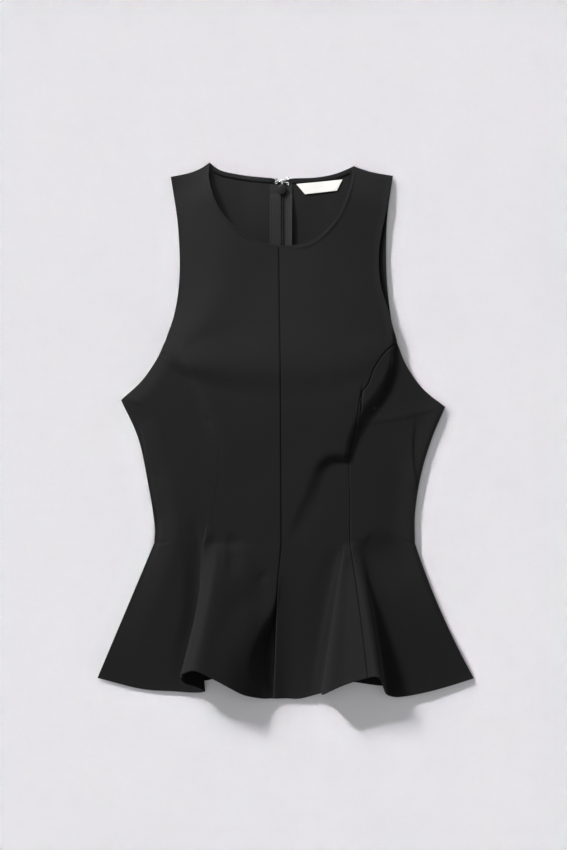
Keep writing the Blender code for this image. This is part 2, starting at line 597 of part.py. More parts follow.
def disc_along_x(bm, centre, radius, width, segments=20):
    """Adds a cylinder whose axis runs along X, in millimetres."""
    turn = Matrix.Rotation(math.pi / 2, 4, "Y")
    place = Matrix.Translation([c * MM for c in centre]) @ turn
    return bmesh.ops.create_cone(
        bm, cap_ends=True, segments=segments, radius1=radius * MM, radius2=radius * MM,
        depth=width * MM, matrix=place,
    )["verts"]


def mesh_object(name, bm, home, material):
    mesh = bpy.data.meshes.new(name)
    bm.to_mesh(mesh)
    bm.free()
    obj = bpy.data.objects.new(name, mesh)
    if material:
        obj.data.materials.append(material)
    home.objects.link(obj)
    return obj


def joined(obj, others, operation):
    """Adds the other shapes to an object, or cuts them out of it."""
    for other in others:
        boolean = obj.modifiers.new(other.name, "BOOLEAN")
        boolean.operation = operation
        boolean.object = other
        other.hide_render = True
        other.display_type = "WIRE"
    return obj


def slider_heights():
    """The slider's floor and top over the zip, in millimetres."""
    low = HUMP["height"] + WALL + SEAM_GAP + TAPE_WALL + SEAM_GAP
    return low, low + SLIDER["height"]


def zip_slider(home, cutters, material):
    """A domed body on the inside, and a thin neck through the slit that ends in the pull's eye."""
    low, high = slider_heights()
    bm = bmesh.new()
    body = bmesh.ops.create_cone(
        bm, cap_ends=True, segments=24, radius1=0.5, radius2=0.5, depth=1.0,
    )["verts"]
    for vert in body:
        x, y, z = vert.co
        vert.co = (
            (BACK_CENTRE_X + x * SLIDER["width"]) * MM,
            (SLIDER["y"] + y * SLIDER["length"]) * MM,
            ((low + high) / 2 + z * (high - low)) * MM,
        )
    rim = [e for e in bm.edges if all(v.co.z > (low + high) / 2 * MM for v in e.verts)]
    bmesh.ops.bevel(bm, geom=rim, offset=SLIDER["shoulder"] * MM, segments=2, profile=0.5, affect="EDGES")
    slider = mesh_object("zip_slider", bm, home, material)

    bm = bmesh.new()
    half, long = SLIDER["neck"] / 2, SLIDER["neck_half_length"]
    pivot_y, pivot_z = PULL["pivot_y"], PULL["pivot_z"]
    box_mesh(
        bm,
        (BACK_CENTRE_X - half, pivot_y - long, pivot_z),
        (BACK_CENTRE_X + half, pivot_y + long, low + SLIDER["neck_sink"]),
    )
    neck = mesh_object("neck", bm, cutters, None)
    bm = bmesh.new()
    disc_along_x(bm, (BACK_CENTRE_X, pivot_y, pivot_z), PULL["eye"], SLIDER["neck"])
    eye = mesh_object("eye_round", bm, cutters, None)
    bm = bmesh.new()
    disc_along_x(bm, (BACK_CENTRE_X, pivot_y, pivot_z), PULL["pin"] + SEAM_GAP, SLIDER["neck"] * 3, 12)
    hole = mesh_object("eye_hole", bm, cutters, None)
    joined(slider, [neck, eye], "UNION")
    return joined(slider, [hole], "DIFFERENCE")


def zip_pull(home, cutters, material):
    """A flat tab under the back, forked at its head, where a pin passes through the slider's eye."""
    pivot_y, pivot_z = PULL["pivot_y"], PULL["pivot_z"]
    half, thick = PULL["width"] / 2, PULL["wall"] / 2
    fork = SLIDER["neck"] / 2 + SEAM_GAP
    bm = bmesh.new()
    box_mesh(
        bm,
        (BACK_CENTRE_X - half, pivot_y - PULL["length"], pivot_z - thick),
        (BACK_CENTRE_X + half, pivot_y + PULL["head"], pivot_z + thick),
    )
    upright = [e for e in bm.edges if abs(e.verts[0].co.z - e.verts[1].co.z) > thick * MM]
    bmesh.ops.bevel(bm, geom=upright, offset=PULL["corner"] * MM, segments=3, profile=0.5, affect="EDGES")
    pull = mesh_object("zip_pull", bm, home, material)
    bm = bmesh.new()
    box_mesh(
        bm,
        (BACK_CENTRE_X - fork, pivot_y - PULL["eye"] - SEAM_GAP, pivot_z - 2 * thick),
        (BACK_CENTRE_X + fork, pivot_y + 2 * PULL["head"], pivot_z + 2 * thick),
    )
    slot = mesh_object("fork_slot", bm, cutters, None)
    bm = bmesh.new()
    disc_along_x(bm, (BACK_CENTRE_X, pivot_y, pivot_z), PULL["pin"], 2 * fork + 1.0, 12)
    pin = mesh_object("pull_pin", bm, cutters, None)
    joined(pull, [slot], "DIFFERENCE")
    return joined(pull, [pin], "UNION")


def wire(name, points, home, material):
    """A bent wire with round section through points, in millimetres."""
    curve = bpy.data.curves.new(name, "CURVE")
    curve.dimensions = "3D"
    curve.bevel_depth = WIRE / 2 * MM
    curve.bevel_resolution = 2
    curve.use_fill_caps = True
    spline = curve.splines.new("POLY")
    spline.points.add(len(points) - 1)
    for point, place in zip(spline.points, points):
        point.co = (*(c * MM for c in place), 1.0)
    curve.materials.append(material)
    obj = bpy.data.objects.new(name, curve)
    home.objects.link(obj)
    return obj


def arc(centre, radius, start, end, steps, z):
    """Points along an arc in plan. Angles are in degrees, from +X towards +Y."""
    angles = np.radians(np.linspace(start, end, steps + 1))
    return [(centre[0] + radius * math.cos(a), centre[1] + radius * math.sin(a), z) for a in angles]


def hook(home, material):
    """Two sewing loops on the left, and a doubled shank that turns down and back under the eye."""
    low = fastening_floor()
    top = low + 2 * (WIRE + SEAM_GAP)
    side = HOOK["spread"] / 2
    x, y = BACK_CENTRE_X, HOOK["y"]
    loop = HOOK["loop"]
    centre = (x - HOOK["reach"], y + side + loop)
    upper = arc(centre, loop, 0, 270, 9, low)
    upper += [(x - HOOK["reach"] * 0.6, y + side, low), (x - HOOK["reach"] * 0.4, y + side, top)]
    upper += [(x + HOOK["nose"], y + side, top), (x + HOOK["nose"] + 0.8, y + side, (low + top) / 2)]
    upper += [(x + HOOK["nose"], y + side, low), (x - HOOK["bill"], y + side, low)]
    lower = [(px, 2 * y - py, pz) for px, py, pz in reversed(upper)]
    return wire("hook", upper + lower, home, material)


def eye(home, material):
    """Two sewing loops on the right, and a bow that passes between the hook's shank and its bill."""
    low = fastening_floor()
    middle = low + WIRE + SEAM_GAP
    side = HOOK["bow"] / 2
    x, y = BACK_CENTRE_X, HOOK["y"]
    loop = HOOK["loop"]
    centre = (x + HOOK["reach"], y + side + loop)
    upper = arc(centre, loop, 180, -90, 9, low)
    upper += [(x + HOOK["nose"] + 2.4, y + side, low), (x + HOOK["nose"] + 1.2, y + side, middle)]
    upper += arc((x + side + HOOK["catch"], y), side, 90, 180, 4, middle)
    lower = [(px, 2 * y - py, pz) for px, py, pz in reversed(upper[:-1])]
    return wire("eye", upper + lower, home, material)


def fastening_floor():
    """The height of the hook's and eye's lowest wire, in millimetres."""
    return HUMP["height"] + WALL + SEAM_GAP + BINDING["wall"] + SEAM_GAP + WIRE / 2


def main():
    clear_scene()
    home = collection_named("peplum_top")
    cutters = collection_named("cutters")
    cloth = {name: material_named(name, BLACK_CLOTH, CLOTH_ROUGHNESS) for name in (
        "front_centre", "front_side", "back", "neck_binding")}
    tape = material_named("zip_tape", BLACK_TAPE, CLOTH_ROUGHNESS)
    coil = material_named("zip_coil", BLACK_ENAMEL, 0.45)
    enamel = material_named("zip_enamel", BLACK_ENAMEL, 0.35, 0.3)
    nickel = material_named("nickel_wire", NICKEL, 0.25, 1.0)
    cream = material_named("label_satin", CREAM_SATIN, 0.55)
    for side in ("left", "right"):
        front_centre_panel(side, home, cloth["front_centre"])
        front_side_panel(side, home, cloth["front_side"])
        back_panel(side, home, cloth["back"])
        neck_binding(side, home, cloth["neck_binding"])
        zip_tape(side, home, tape)
        zip_coil(side, home, coil)
    zip_slider(home, cutters, enamel)
    zip_pull(home, cutters, enamel)
    hook(home, nickel)
    eye(home, nickel)
    label_strip(home, cream)


main()
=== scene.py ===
import math

import bpy
import numpy as np
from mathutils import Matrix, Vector


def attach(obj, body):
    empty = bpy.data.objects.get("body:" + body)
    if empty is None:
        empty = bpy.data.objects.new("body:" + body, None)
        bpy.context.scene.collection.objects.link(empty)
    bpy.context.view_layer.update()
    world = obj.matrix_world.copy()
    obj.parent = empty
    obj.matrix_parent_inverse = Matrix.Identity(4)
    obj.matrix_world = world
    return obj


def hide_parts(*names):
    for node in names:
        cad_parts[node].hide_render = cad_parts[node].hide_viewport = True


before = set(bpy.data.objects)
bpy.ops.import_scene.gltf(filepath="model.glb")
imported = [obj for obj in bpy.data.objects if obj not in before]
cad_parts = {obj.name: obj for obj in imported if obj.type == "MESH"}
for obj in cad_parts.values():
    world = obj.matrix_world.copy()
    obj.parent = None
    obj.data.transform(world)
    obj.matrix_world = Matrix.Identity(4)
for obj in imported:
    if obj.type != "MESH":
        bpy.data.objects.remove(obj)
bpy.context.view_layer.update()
MM = 0.001

# The top lies flat on a pale, faintly blue studio floor and is seen from straight above. A far, slightly soft
# light stands to the upper left. Two softer ones, near the neck and from the left, fall on the cloth alone,
# and a broad one from above falls on the floor alone, which keeps the floor even.
FLOOR_SIDE = 12.0
FLOOR_COLOUR = (0.80, 0.80, 0.823)
# Far lights: strength, height over the floor and direction in plan from +X, both in degrees, and softness
FAR_LIGHTS = {
    "key_light": (3.92, 28.0, 129.0, 10.0),
    "window": (1.3, 20.0, 192.0, 60.0),
    "floor_fill": (0.60, 90.0, 90.0, 60.0),
}
STRIP = {"place": (-0.20, 0.70, 0.40), "aim": (0.02, 0.12, 0.0), "size": (0.7, 0.3), "strength": 5.6}
AIR_STRENGTH = 0.24
CAMERA_HEIGHT = 2.5
VIEW_CENTRE = (-0.0024, 0.0073)
VIEW_HEIGHT = 0.956
SENSOR = 36.0

bpy.ops.mesh.primitive_plane_add(size=FLOOR_SIDE, location=(0, 0, -0.0004))
floor = bpy.context.object
floor.name = "studio_floor"
paper = bpy.data.materials.new("floor_paper")
paper.use_nodes = True
paper.node_tree.nodes["Principled BSDF"].inputs["Base Color"].default_value = (*FLOOR_COLOUR, 1)
paper.node_tree.nodes["Principled BSDF"].inputs["Roughness"].default_value = 0.9
paper.node_tree.nodes["Principled BSDF"].inputs["Specular IOR Level"].default_value = 0.2
floor.data.materials.append(paper)


lights = {}
for name, (strength, height, direction, softness) in FAR_LIGHTS.items():
    data = bpy.data.lights.new(name, "SUN")
    data.energy = strength
    data.angle = math.radians(softness)
    lights[name] = bpy.data.objects.new(name, data)
    lights[name].rotation_euler = (math.radians(90 - height), 0, math.radians(direction + 90))
    lights[name].location = (-1.5, 1.7, 1.8)
data = bpy.data.lights.new("strip_light", "AREA")
data.shape = "RECTANGLE"
data.size, data.size_y = STRIP["size"]
data.energy = STRIP["strength"]
lights["strip_light"] = bpy.data.objects.new("strip_light", data)
lights["strip_light"].location = STRIP["place"]
towards = Vector(STRIP["aim"]) - Vector(STRIP["place"])
lights["strip_light"].rotation_euler = towards.to_track_quat("-Z", "Y").to_euler()
for light in lights.values():
    bpy.context.scene.collection.objects.link(light)
for name, floor_is in {"window": "EXCLUDE", "strip_light": "EXCLUDE", "floor_fill": "INCLUDE"}.items():
    lit = bpy.data.collections.new(f"{name}_falls_on")
    lit.objects.link(floor)
    lit.collection_objects[0].light_linking.link_state = floor_is
    lights[name].light_linking.receiver_collection = lit

world = bpy.data.worlds.new("studio_air")
world.use_nodes = True
world.node_tree.nodes["Background"].inputs["Color"].default_value = (1.0, 1.0, 1.0, 1)
world.node_tree.nodes["Background"].inputs["Strength"].default_value = AIR_STRENGTH
bpy.context.scene.world = world
bpy.context.scene.view_settings.view_transform = "Standard"

lens = bpy.data.cameras.new("camera")
lens.sensor_width = SENSOR
lens.lens = SENSOR * CAMERA_HEIGHT / VIEW_HEIGHT
camera = bpy.data.objects.new("camera", lens)
camera.location = (*VIEW_CENTRE, CAMERA_HEIGHT)
bpy.context.scene.collection.objects.link(camera)
bpy.context.scene.camera = camera


# The back is two plain halves of black stretch crepe that meet at a centre-back seam, open at the zip.
# It lies on the floor, its side and shoulder seams stand up a little on their allowances, and the
# zip's pull lifts it at the neck. The outlines are those of the cut pieces as they lie, in millimetres.
WALL = 1.0
SEAM_GAP = 0.34
WAIST_Y = -125.0
BACK_CENTRE_X = -4.0
SIDE_SEAM = {
    "left": [(-184.6, 35.4), (-165.0, -9.6), (-153.5, -64.0), (-147.0, -105.0), (-147.4, WAIST_Y)],
    "right": [(179.0, 27.6), (164.0, -8.0), (152.0, -48.0), (145.3, -90.0), (145.0, WAIST_Y)],
}
HEM_CORNER = {"left": (-211.4, -276.8), "right": (211.4, -277.1)}
SIDE_BOW = {"left": 0.0, "right": -4.5}
SHOULDER = {
    "left": [(-129.0, 286.0), (-109.0, 290.0), (-96.0, 295.0), (-85.0, 302.0)],
    "right": [(120.6, 287.0), (100.0, 290.5), (88.0, 293.7), (76.0, 298.0)],
}
BACK_NECK = {
    "left": [(-85.0, 302.0), (-74.0, 293.8), (-56.0, 289.3), (-36.0, 286.3), (-15.0, 284.4),
             (-11.0, 283.8), (-7.5, 282.0), (BACK_CENTRE_X, 279.5)],
    "right": [(76.0, 298.0), (64.5, 292.6), (51.0, 288.2), (31.5, 285.0), (7.0, 284.1),
              (3.0, 283.4), (-0.5, 281.8), (BACK_CENTRE_X, 279.5)],
}
BACK_ARMHOLE = {
    "left": [(-129.0, 286.0), (-117.5, 232.0), (-115.0, 178.0), (-120.0, 136.0), (-131.0, 101.0),
             (-142.0, 79.0), (-160.0, 55.0), (-184.6, 35.4)],
    "right": [(120.6, 287.0), (114.4, 243.6), (112.8, 205.0), (114.0, 165.0), (119.0, 124.0),
              (125.5, 99.0), (136.5, 73.0), (154.0, 48.5), (179.0, 27.6)],
}
BACK_HEM = {
    "left": [(-211.4, -276.8), (-160.0, -284.0), (-95.0, -280.5), (-78.0, -278.0), (-40.0, -278.5),
             (BACK_CENTRE_X, -279.0)],
    "right": [(211.4, -277.1), (160.0, -284.5), (110.0, -286.0), (74.0, -281.5), (30.0, -279.0),
              (BACK_CENTRE_X, -279.0)],
}
EDGE_LIFT = {
    "left": [(-277.0, 0.2), (-200.0, 0.2), (WAIST_Y, 1.0), (-80.0, 1.2), (0.0, 0.6), (60.0, 0.0)],
    "right": [(-277.0, 2.0), (-200.0, 2.4), (WAIST_Y, 3.4), (-80.0, 3.6), (-20.0, 3.6), (27.6, 3.0), (60.0, 2.0)],
}
EDGE_LIFT_REACH = {"left": 24.0, "right": 34.0}
ARMHOLE_LIFT = {"height": 4.0, "reach": 14.0, "start_y": 100.0, "full_y": 150.0, "fade_y": 240.0, "end_y": 280.0}
SHOULDER_LIFT = 1.6
SHOULDER_LIFT_REACH = 26.0
HUMP = {"height": 2.3, "full_x": 14.0, "end_x": 50.0, "full_y": 260.0, "end_y": 200.0}
SPLIT = {"start": 259.4, "length": 9.6, "width": 0.75}
OUTWARD = {"left": -1.0, "right": 1.0}
CLOTH_ROUGHNESS = 0.8
BLACK_CREPE = (0.0058, 0.0058, 0.0059)


def smooth(share):
    """0 to 1 with a soft start and end."""
    share = np.clip(share, 0.0, 1.0)
    return share * share * (3.0 - 2.0 * share)


def through(points, where):
    """A smooth line through the rows of points, read at where, counted in rows."""
    rows = np.array(points, float)
    rows = np.vstack([2 * rows[0] - rows[1], rows, 2 * rows[-1] - rows[-2]])
    where = np.clip(np.asarray(where, float), 0, len(points) - 1)
    first = np.minimum(where.astype(int), len(points) - 2)
    t = (where - first)[:, None]
    a, b, c, d = (rows[first + k] for k in range(4))
    return 0.5 * (2 * b + (c - a) * t + (2 * a - 5 * b + 4 * c - d) * t**2 + (3 * b - a - 3 * c + d) * t**3)


def spread(count, crowding=0.6):
    """count + 1 shares from 0 to 1, closer together at both ends."""
    t = np.linspace(0, 1, count + 1)
    return t - crowding * np.sin(2 * math.pi * t) / (2 * math.pi)


def run(points, shares):
    """Points at shares of the length of the smooth line through points."""
    fine = through(points, np.linspace(0, len(points) - 1, 40 * (len(points) - 1) + 1))
    along = np.concatenate([[0], np.cumsum(np.linalg.norm(np.diff(fine, axis=0), axis=1))])
    at = np.asarray(shares) * along[-1]
    return np.stack([np.interp(at, along, fine[:, k]) for k in range(fine.shape[1])], axis=1)


def even(steps):
    return np.linspace(0, 1, steps + 1)


def chain(*runs):
    """Runs that meet end to end, as one row of points."""
    return np.vstack([runs[0], *(r[1:] for r in runs[1:])])


def patch(top, bottom, left, right):
    """A grid of points that fills four edges: rows run from left to right, and the first row is top."""
    u = np.linspace(0, 1, len(top))[None, :, None]
    v = np.linspace(0, 1, len(left))[:, None, None]
    sides = (1 - u) * left[:, None] + u * right[:, None]
    ends = (1 - v) * top[None] + v * bottom[None]
    corners = (1 - v) * ((1 - u) * top[0] + u * top[-1]) + v * ((1 - u) * bottom[0] + u * bottom[-1])
    return sides + ends - corners


def away_from(x, y, line):
    """Distance of each point from a line, positive on the left of its direction."""
    path = run(line, even(8 * (len(line) - 1)))
    best = np.full(x.shape, 1e9)
    signed = np.zeros(x.shape)
    for a, b in zip(path[:-1], path[1:]):
        d = b - a
        share = np.clip(((x - a[0]) * d[0] + (y - a[1]) * d[1]) / (d @ d), 0, 1)
        dx, dy = x - a[0] - share * d[0], y - a[1] - share * d[1]
        far = np.hypot(dx, dy)
        turn = np.where(d[0] * (y - a[1]) - d[1] * (x - a[0]) >= 0, 1.0, -1.0)
        signed = np.where(far < best, turn * far, signed)
        best = np.minimum(far, best)
    return signed


def side_line(side):
    """The whole side seam from the underarm to the corner of the hem."""
    w = np.linspace(0, 1, 40)
    waist_x = SIDE_SEAM[side][-1][0]
    x = waist_x + (HEM_CORNER[side][0] - waist_x) * w + SIDE_BOW[side] * 4 * w * (1 - w)
    y = WAIST_Y + (HEM_CORNER[side][1] - WAIST_Y) * w
    return chain(run(SIDE_SEAM[side], even(60)), np.stack([x, y], axis=1))


def edge_lift(x, y):
    """How far the cloth rises off the floor towards its side and shoulder seams."""
    rise = np.zeros(x.shape)
    for side in SIDE_SEAM:
        heights = np.array(EDGE_LIFT[side])
        lift = np.interp(y, heights[:, 0], heights[:, 1])
        line = side_line(side)[::-1]
        edge = np.interp(y, line[:, 1], line[:, 0])
        rise = np.maximum(rise, lift * smooth(1 - np.abs(x - edge) / EDGE_LIFT_REACH[side]) ** 2)
        off = np.abs(away_from(x, y, SHOULDER[side]))
        rise = np.maximum(rise, SHOULDER_LIFT * smooth(1 - off / SHOULDER_LIFT_REACH) ** 2)
    return rise


def back_under(x, y):
    """Height of the back's outer face over the floor."""
    across = smooth((HUMP["end_x"] - np.abs(x - BACK_CENTRE_X)) / (HUMP["end_x"] - HUMP["full_x"]))
    along = smooth((y - HUMP["end_y"]) / (HUMP["full_y"] - HUMP["end_y"]))
    lift = ARMHOLE_LIFT
    curl = lift["height"] * smooth(1 - np.abs(away_from(x, y, BACK_ARMHOLE["right"])) / lift["reach"])
    curl = curl * smooth((y - lift["start_y"]) / (lift["full_y"] - lift["start_y"]))
    curl = curl * smooth((lift["end_y"] - y) / (lift["end_y"] - lift["fade_y"]))
    return edge_lift(x, y) + HUMP["height"] * across * along + curl


def deselect_all():
    for obj in bpy.context.selected_objects:
        obj.select_set(False)


def modifier_applied(obj, name, kind, **settings):
    """Adds a modifier, sets it, and applies it."""
    modifier = obj.modifiers.new(name, kind)
    for key_name, value in settings.items():
        setattr(modifier, key_name, value)
    bpy.context.view_layer.objects.active = obj
    bpy.ops.object.modifier_apply(modifier=name)


def cloth_sheet(name, grid, wall, offset, material, rounding=0.42, fold=None):
    """A cloth wall on a grid of points in millimetres, with rounded edges and a UV map in metres.

    fold holds how much thicker than the wall the cloth is at each point, where it is turned under.
    """
    rows, columns = grid.shape[:2]
    deselect_all()
    bpy.ops.mesh.primitive_grid_add(x_subdivisions=columns - 1, y_subdivisions=rows - 1, size=1)
    sheet = bpy.context.object
    sheet.name = name
    flat = np.empty(len(sheet.data.vertices) * 3)
    sheet.data.vertices.foreach_get("co", flat)
    flat = flat.reshape(-1, 3)
    column = np.rint((flat[:, 0] + 0.5) * (columns - 1)).astype(int)
    row = np.rint((0.5 - flat[:, 1]) * (rows - 1)).astype(int)
    sheet.data.vertices.foreach_set("co", (grid[row, column] * MM).ravel())
    across = np.pad(np.cumsum(np.linalg.norm(np.diff(grid, axis=1), axis=2), axis=1), ((0, 0), (1, 0)))
    along = np.pad(np.cumsum(np.linalg.norm(np.diff(grid, axis=0), axis=2), axis=0), ((1, 0), (0, 0)))
    weave = np.stack([across, along], axis=2)[row, column] * MM
    corner = np.empty(len(sheet.data.loops), int)
    sheet.data.loops.foreach_get("vertex_index", corner)
    sheet.data.uv_layers.active.data.foreach_set("uv", weave[corner].ravel())
    if fold is None:
        modifier_applied(sheet, "wall", "SOLIDIFY", thickness=wall * MM, offset=offset)
    else:
        group = sheet.vertex_groups.new(name="turned_edge")
        for index, weight in enumerate(fold[row, column] / fold.max()):
            group.add([index], float(weight), "REPLACE")
        modifier_applied(sheet, "wall", "SOLIDIFY", thickness=wall * fold.max() * MM, offset=offset,
                         vertex_group=group.name)
    if rounding:
        modifier_applied(sheet, "edge", "BEVEL", width=rounding * MM, segments=2, limit_method="ANGLE",
                         angle_limit=math.radians(50), use_clamp_overlap=True)
    sheet.data.shade_smooth()
    sheet.data.materials.append(material)
    return sheet


def new_group(name, inputs, outputs):
    """An empty shader node group with named number inputs and outputs."""
    group = bpy.data.node_groups.new(name, "ShaderNodeTree")
    for socket, value in inputs.items():
        made = group.interface.new_socket(socket, in_out="INPUT", socket_type="NodeSocketFloat")
        made.default_value = value
    for socket in outputs:
        group.interface.new_socket(socket, in_out="OUTPUT", socket_type="NodeSocketFloat")
    return group, group.nodes.new("NodeGroupInput"), group.nodes.new("NodeGroupOutput")


def node(tree, kind, operation=None, **inputs):
    """A node with some of its inputs set to values or linked to sockets."""
    made = tree.nodes.new(kind)
    if operation:
        made.operation = operation
    for key_name, value in inputs.items():
        socket = made.inputs[int(key_name[1:])] if key_name[1:].isdigit() else made.inputs[key_name.replace("_", " ")]
        if isinstance(value, bpy.types.NodeSocket):
            tree.links.new(value, socket)
        else:
            socket.default_value = value
    return made


def weave_group():
    """The crepe's surface: fine crossed yarns, broken up by the pebbled twist of the thread."""
    group, given, out = new_group("crepe_weave", {"Yarns per metre": 2200.0}, ["Height", "Fleck"])
    uv = node(group, "ShaderNodeUVMap")
    pitch = given.outputs["Yarns per metre"]
    scaled = node(group, "ShaderNodeVectorMath", "SCALE", i0=uv.outputs["UV"], Scale=pitch)
    wobble = node(group, "ShaderNodeTexNoise", Vector=scaled.outputs[0], Scale=0.22, Detail=2.0)
    offset = node(group, "ShaderNodeVectorMath", "SCALE", i0=wobble.outputs["Color"], Scale=1.6)
    bent = node(group, "ShaderNodeVectorMath", "ADD", i0=scaled.outputs[0], i1=offset.outputs[0])
    parts = node(group, "ShaderNodeSeparateXYZ", Vector=bent.outputs[0])
    warp = node(group, "ShaderNodeMath", "SINE", i0=parts.outputs["X"])
    weft = node(group, "ShaderNodeMath", "SINE", i0=parts.outputs["Y"])
    crossed = node(group, "ShaderNodeMath", "MULTIPLY", i0=warp.outputs[0], i1=weft.outputs[0])
    pebble = node(group, "ShaderNodeTexNoise", Vector=scaled.outputs[0], Scale=0.42, Detail=3.0, Roughness=0.6)
    height = node(group, "ShaderNodeMath", "MULTIPLY_ADD", i0=crossed.outputs[0], i1=0.35, i2=pebble.outputs["Fac"])
    group.links.new(height.outputs[0], out.inputs["Height"])
    group.links.new(pebble.outputs["Fac"], out.inputs["Fleck"])
    return group


def crepe_material(name, colour, weave_height=0.00012, pitch=2200.0, sheen=0.04):
    """Matt woven cloth: a woven bump, slow unevenness of tone and gloss, and a soft sheen."""
    made = bpy.data.materials.new(name)
    made.use_nodes = True
    tree = made.node_tree
    shader = tree.nodes["Principled BSDF"]
    weave = tree.nodes.new("ShaderNodeGroup")
    weave.node_tree = WEAVE
    weave.inputs["Yarns per metre"].default_value = pitch
    places = node(tree, "ShaderNodeTexCoord")
    slow = node(tree, "ShaderNodeTexNoise", Vector=places.outputs["Object"], Scale=14.0, Detail=3.0)
    tone = node(tree, "ShaderNodeMath", "MULTIPLY_ADD", i0=slow.outputs["Fac"], i1=0.5, i2=weave.outputs["Fleck"])
    shade = node(tree, "ShaderNodeMapRange", Value=tone.outputs[0])
    shade.inputs["From Min"].default_value = 0.4
    shade.inputs["From Max"].default_value = 1.1
    mixed = node(tree, "ShaderNodeMix")
    mixed.data_type = "RGBA"
    mixed.inputs["A"].default_value = (*(c * 0.82 for c in colour), 1)
    mixed.inputs["B"].default_value = (*(c * 1.18 for c in colour), 1)
    tree.links.new(shade.outputs[0], mixed.inputs["Factor"])
    tree.links.new(mixed.outputs["Result"], shader.inputs["Base Color"])
    gloss = node(tree, "ShaderNodeMapRange", Value=weave.outputs["Fleck"])
    gloss.inputs["To Min"].default_value = CLOTH_ROUGHNESS - 0.08
    gloss.inputs["To Max"].default_value = CLOTH_ROUGHNESS + 0.1
    tree.links.new(gloss.outputs[0], shader.inputs["Roughness"])
    bump = node(tree, "ShaderNodeBump", Height=weave.outputs["Height"], Strength=0.6, Distance=weave_height)
    tree.links.new(bump.outputs["Normal"], shader.inputs["Normal"])
    shader.inputs["Specular IOR Level"].default_value = 0.15
    shader.inputs["Sheen Weight"].default_value = sheen
    shader.inputs["Sheen Roughness"].default_value = 0.55
    shader.inputs["Sheen Tint"].default_value = (0.75, 0.76, 0.8, 1)
    return made


WEAVE = weave_group()
crepe = crepe_material("black_crepe", BLACK_CREPE)


def centre_back_split(y):
    """Half the gap between the two backs: a seam's gap, but parted round the slider."""
    return SEAM_GAP / 2 + SPLIT["width"] * smooth((y - SPLIT["start"]) / SPLIT["length"])


def back_half(side):
    outer = chain(run(BACK_ARMHOLE[side], even(70)), run(side_line(side), even(90)))
    inner = run([BACK_NECK[side][-1], BACK_HEM[side][-1]], even(len(outer) - 1))
    top = chain(run(SHOULDER[side], even(14)), run(BACK_NECK[side], even(34)))
    plan = patch(top, run(BACK_HEM[side], even(len(top) - 1)), outer, inner)
    plan[:, -1, 0] += OUTWARD[side] * centre_back_split(plan[:, -1, 1])
    x, y = plan[..., 0], plan[..., 1]
    grid = np.dstack([x, y, back_under(x, y)])
    half = cloth_sheet(f"{side}_back_panel", grid, WALL, -OUTWARD[side], crepe)
    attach(half, "garment")
    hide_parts(f"back_{side}")
    return half


for side in SIDE_SEAM:
    back_half(side)


# The concealed zip is sewn inside the centre back: two woven tapes, a nylon coil along each tape's inner
# edge, and an enamelled slider at the top. The right tape stands off the back. The slider's pull hangs
# on the outside, under the back, where its forked head swings on a pin through the slider's eye.
TAPE_TOP_Y = 277.0
ZIP_END_Y = -150.0
TAPE_WIDTH = {"left": 13.6, "right": 11.6}
TAPE_WALL = 0.9
TAPE_STAND = {"left": 0.0, "right": 4.0}
SELVEDGE_RIB = 0.12
COIL_WIDTH = 2.2
COIL_HEIGHT = 1.0
TOOTH_PITCH = 1.25
TOOTH_SIDES = 6
SLIDER = {"y": 271.4, "width": 9.6, "length": 12.0, "low": 5.3, "height": 3.1, "neck": 1.0}
PULL = {"y": 271.4, "z": 1.15, "length": 22.0, "width": 5.0, "wall": 0.9, "head": 0.75, "eye": 0.95, "pin": 0.28}
BLACK_TAPE = (0.0115, 0.0115, 0.012)
BLACK_ENAMEL = (0.006, 0.006, 0.0065)
BLACK_NYLON = (0.010, 0.010, 0.011)

tape_cloth = crepe_material("zip_tape_weave", BLACK_TAPE, weave_height=0.0002, pitch=1500.0, sheen=0.1)


def plain_material(name, colour, roughness, metallic=0.0, wear=0.0, gloss_level=0.5):
    """Enamel, nylon or metal: fine scuffs in its gloss, and colour a little lighter where it is worn."""
    made = bpy.data.materials.new(name)
    made.use_nodes = True
    tree = made.node_tree
    shader = tree.nodes["Principled BSDF"]
    places = node(tree, "ShaderNodeTexCoord")
    scuff = node(tree, "ShaderNodeTexNoise", Vector=places.outputs["Object"], Scale=900.0, Detail=4.0)
    gloss = node(tree, "ShaderNodeMapRange", Value=scuff.outputs["Fac"])
    gloss.inputs["To Min"].default_value = roughness * 0.75
    gloss.inputs["To Max"].default_value = roughness * 1.3
    tree.links.new(gloss.outputs[0], shader.inputs["Roughness"])
    mixed = node(tree, "ShaderNodeMix")
    mixed.data_type = "RGBA"
    mixed.inputs["A"].default_value = (*colour, 1)
    mixed.inputs["B"].default_value = (*(min(1.0, c * (1 + wear)) for c in colour), 1)
    tree.links.new(scuff.outputs["Fac"], mixed.inputs["Factor"])
    tree.links.new(mixed.outputs["Result"], shader.inputs["Base Color"])
    bump = node(tree, "ShaderNodeBump", Height=scuff.outputs["Fac"], Strength=0.25, Distance=0.00002)
    tree.links.new(bump.outputs["Normal"], shader.inputs["Normal"])
    shader.inputs["Metallic"].default_value = metallic
    shader.inputs["Specular IOR Level"].default_value = gloss_level
    return made


enamel = plain_material("zip_enamel", BLACK_ENAMEL, 0.42, 0.0, 0.4, 0.2)
nylon = plain_material("zip_nylon", BLACK_NYLON, 0.5, 0.0, 0.3, 0.2)


def on_back(plan, clear):
    """Puts a plan grid over the back's inner face, clear of it."""
    x, y = plan[..., 0], plan[..., 1]
    return np.dstack([x, y, back_under(x, y) + WALL + clear])


def tape_stand(side, across, y):
    """How far the tape stands off the back, from its coil edge at 0 to its selvedge at 1."""
    rise = TAPE_STAND[side] * np.clip((across - 0.22) / 0.78, 0, 1) ** 2 * smooth((TAPE_TOP_Y - y) / 40.0)
    return rise * smooth((y - 90.0) / 60.0)


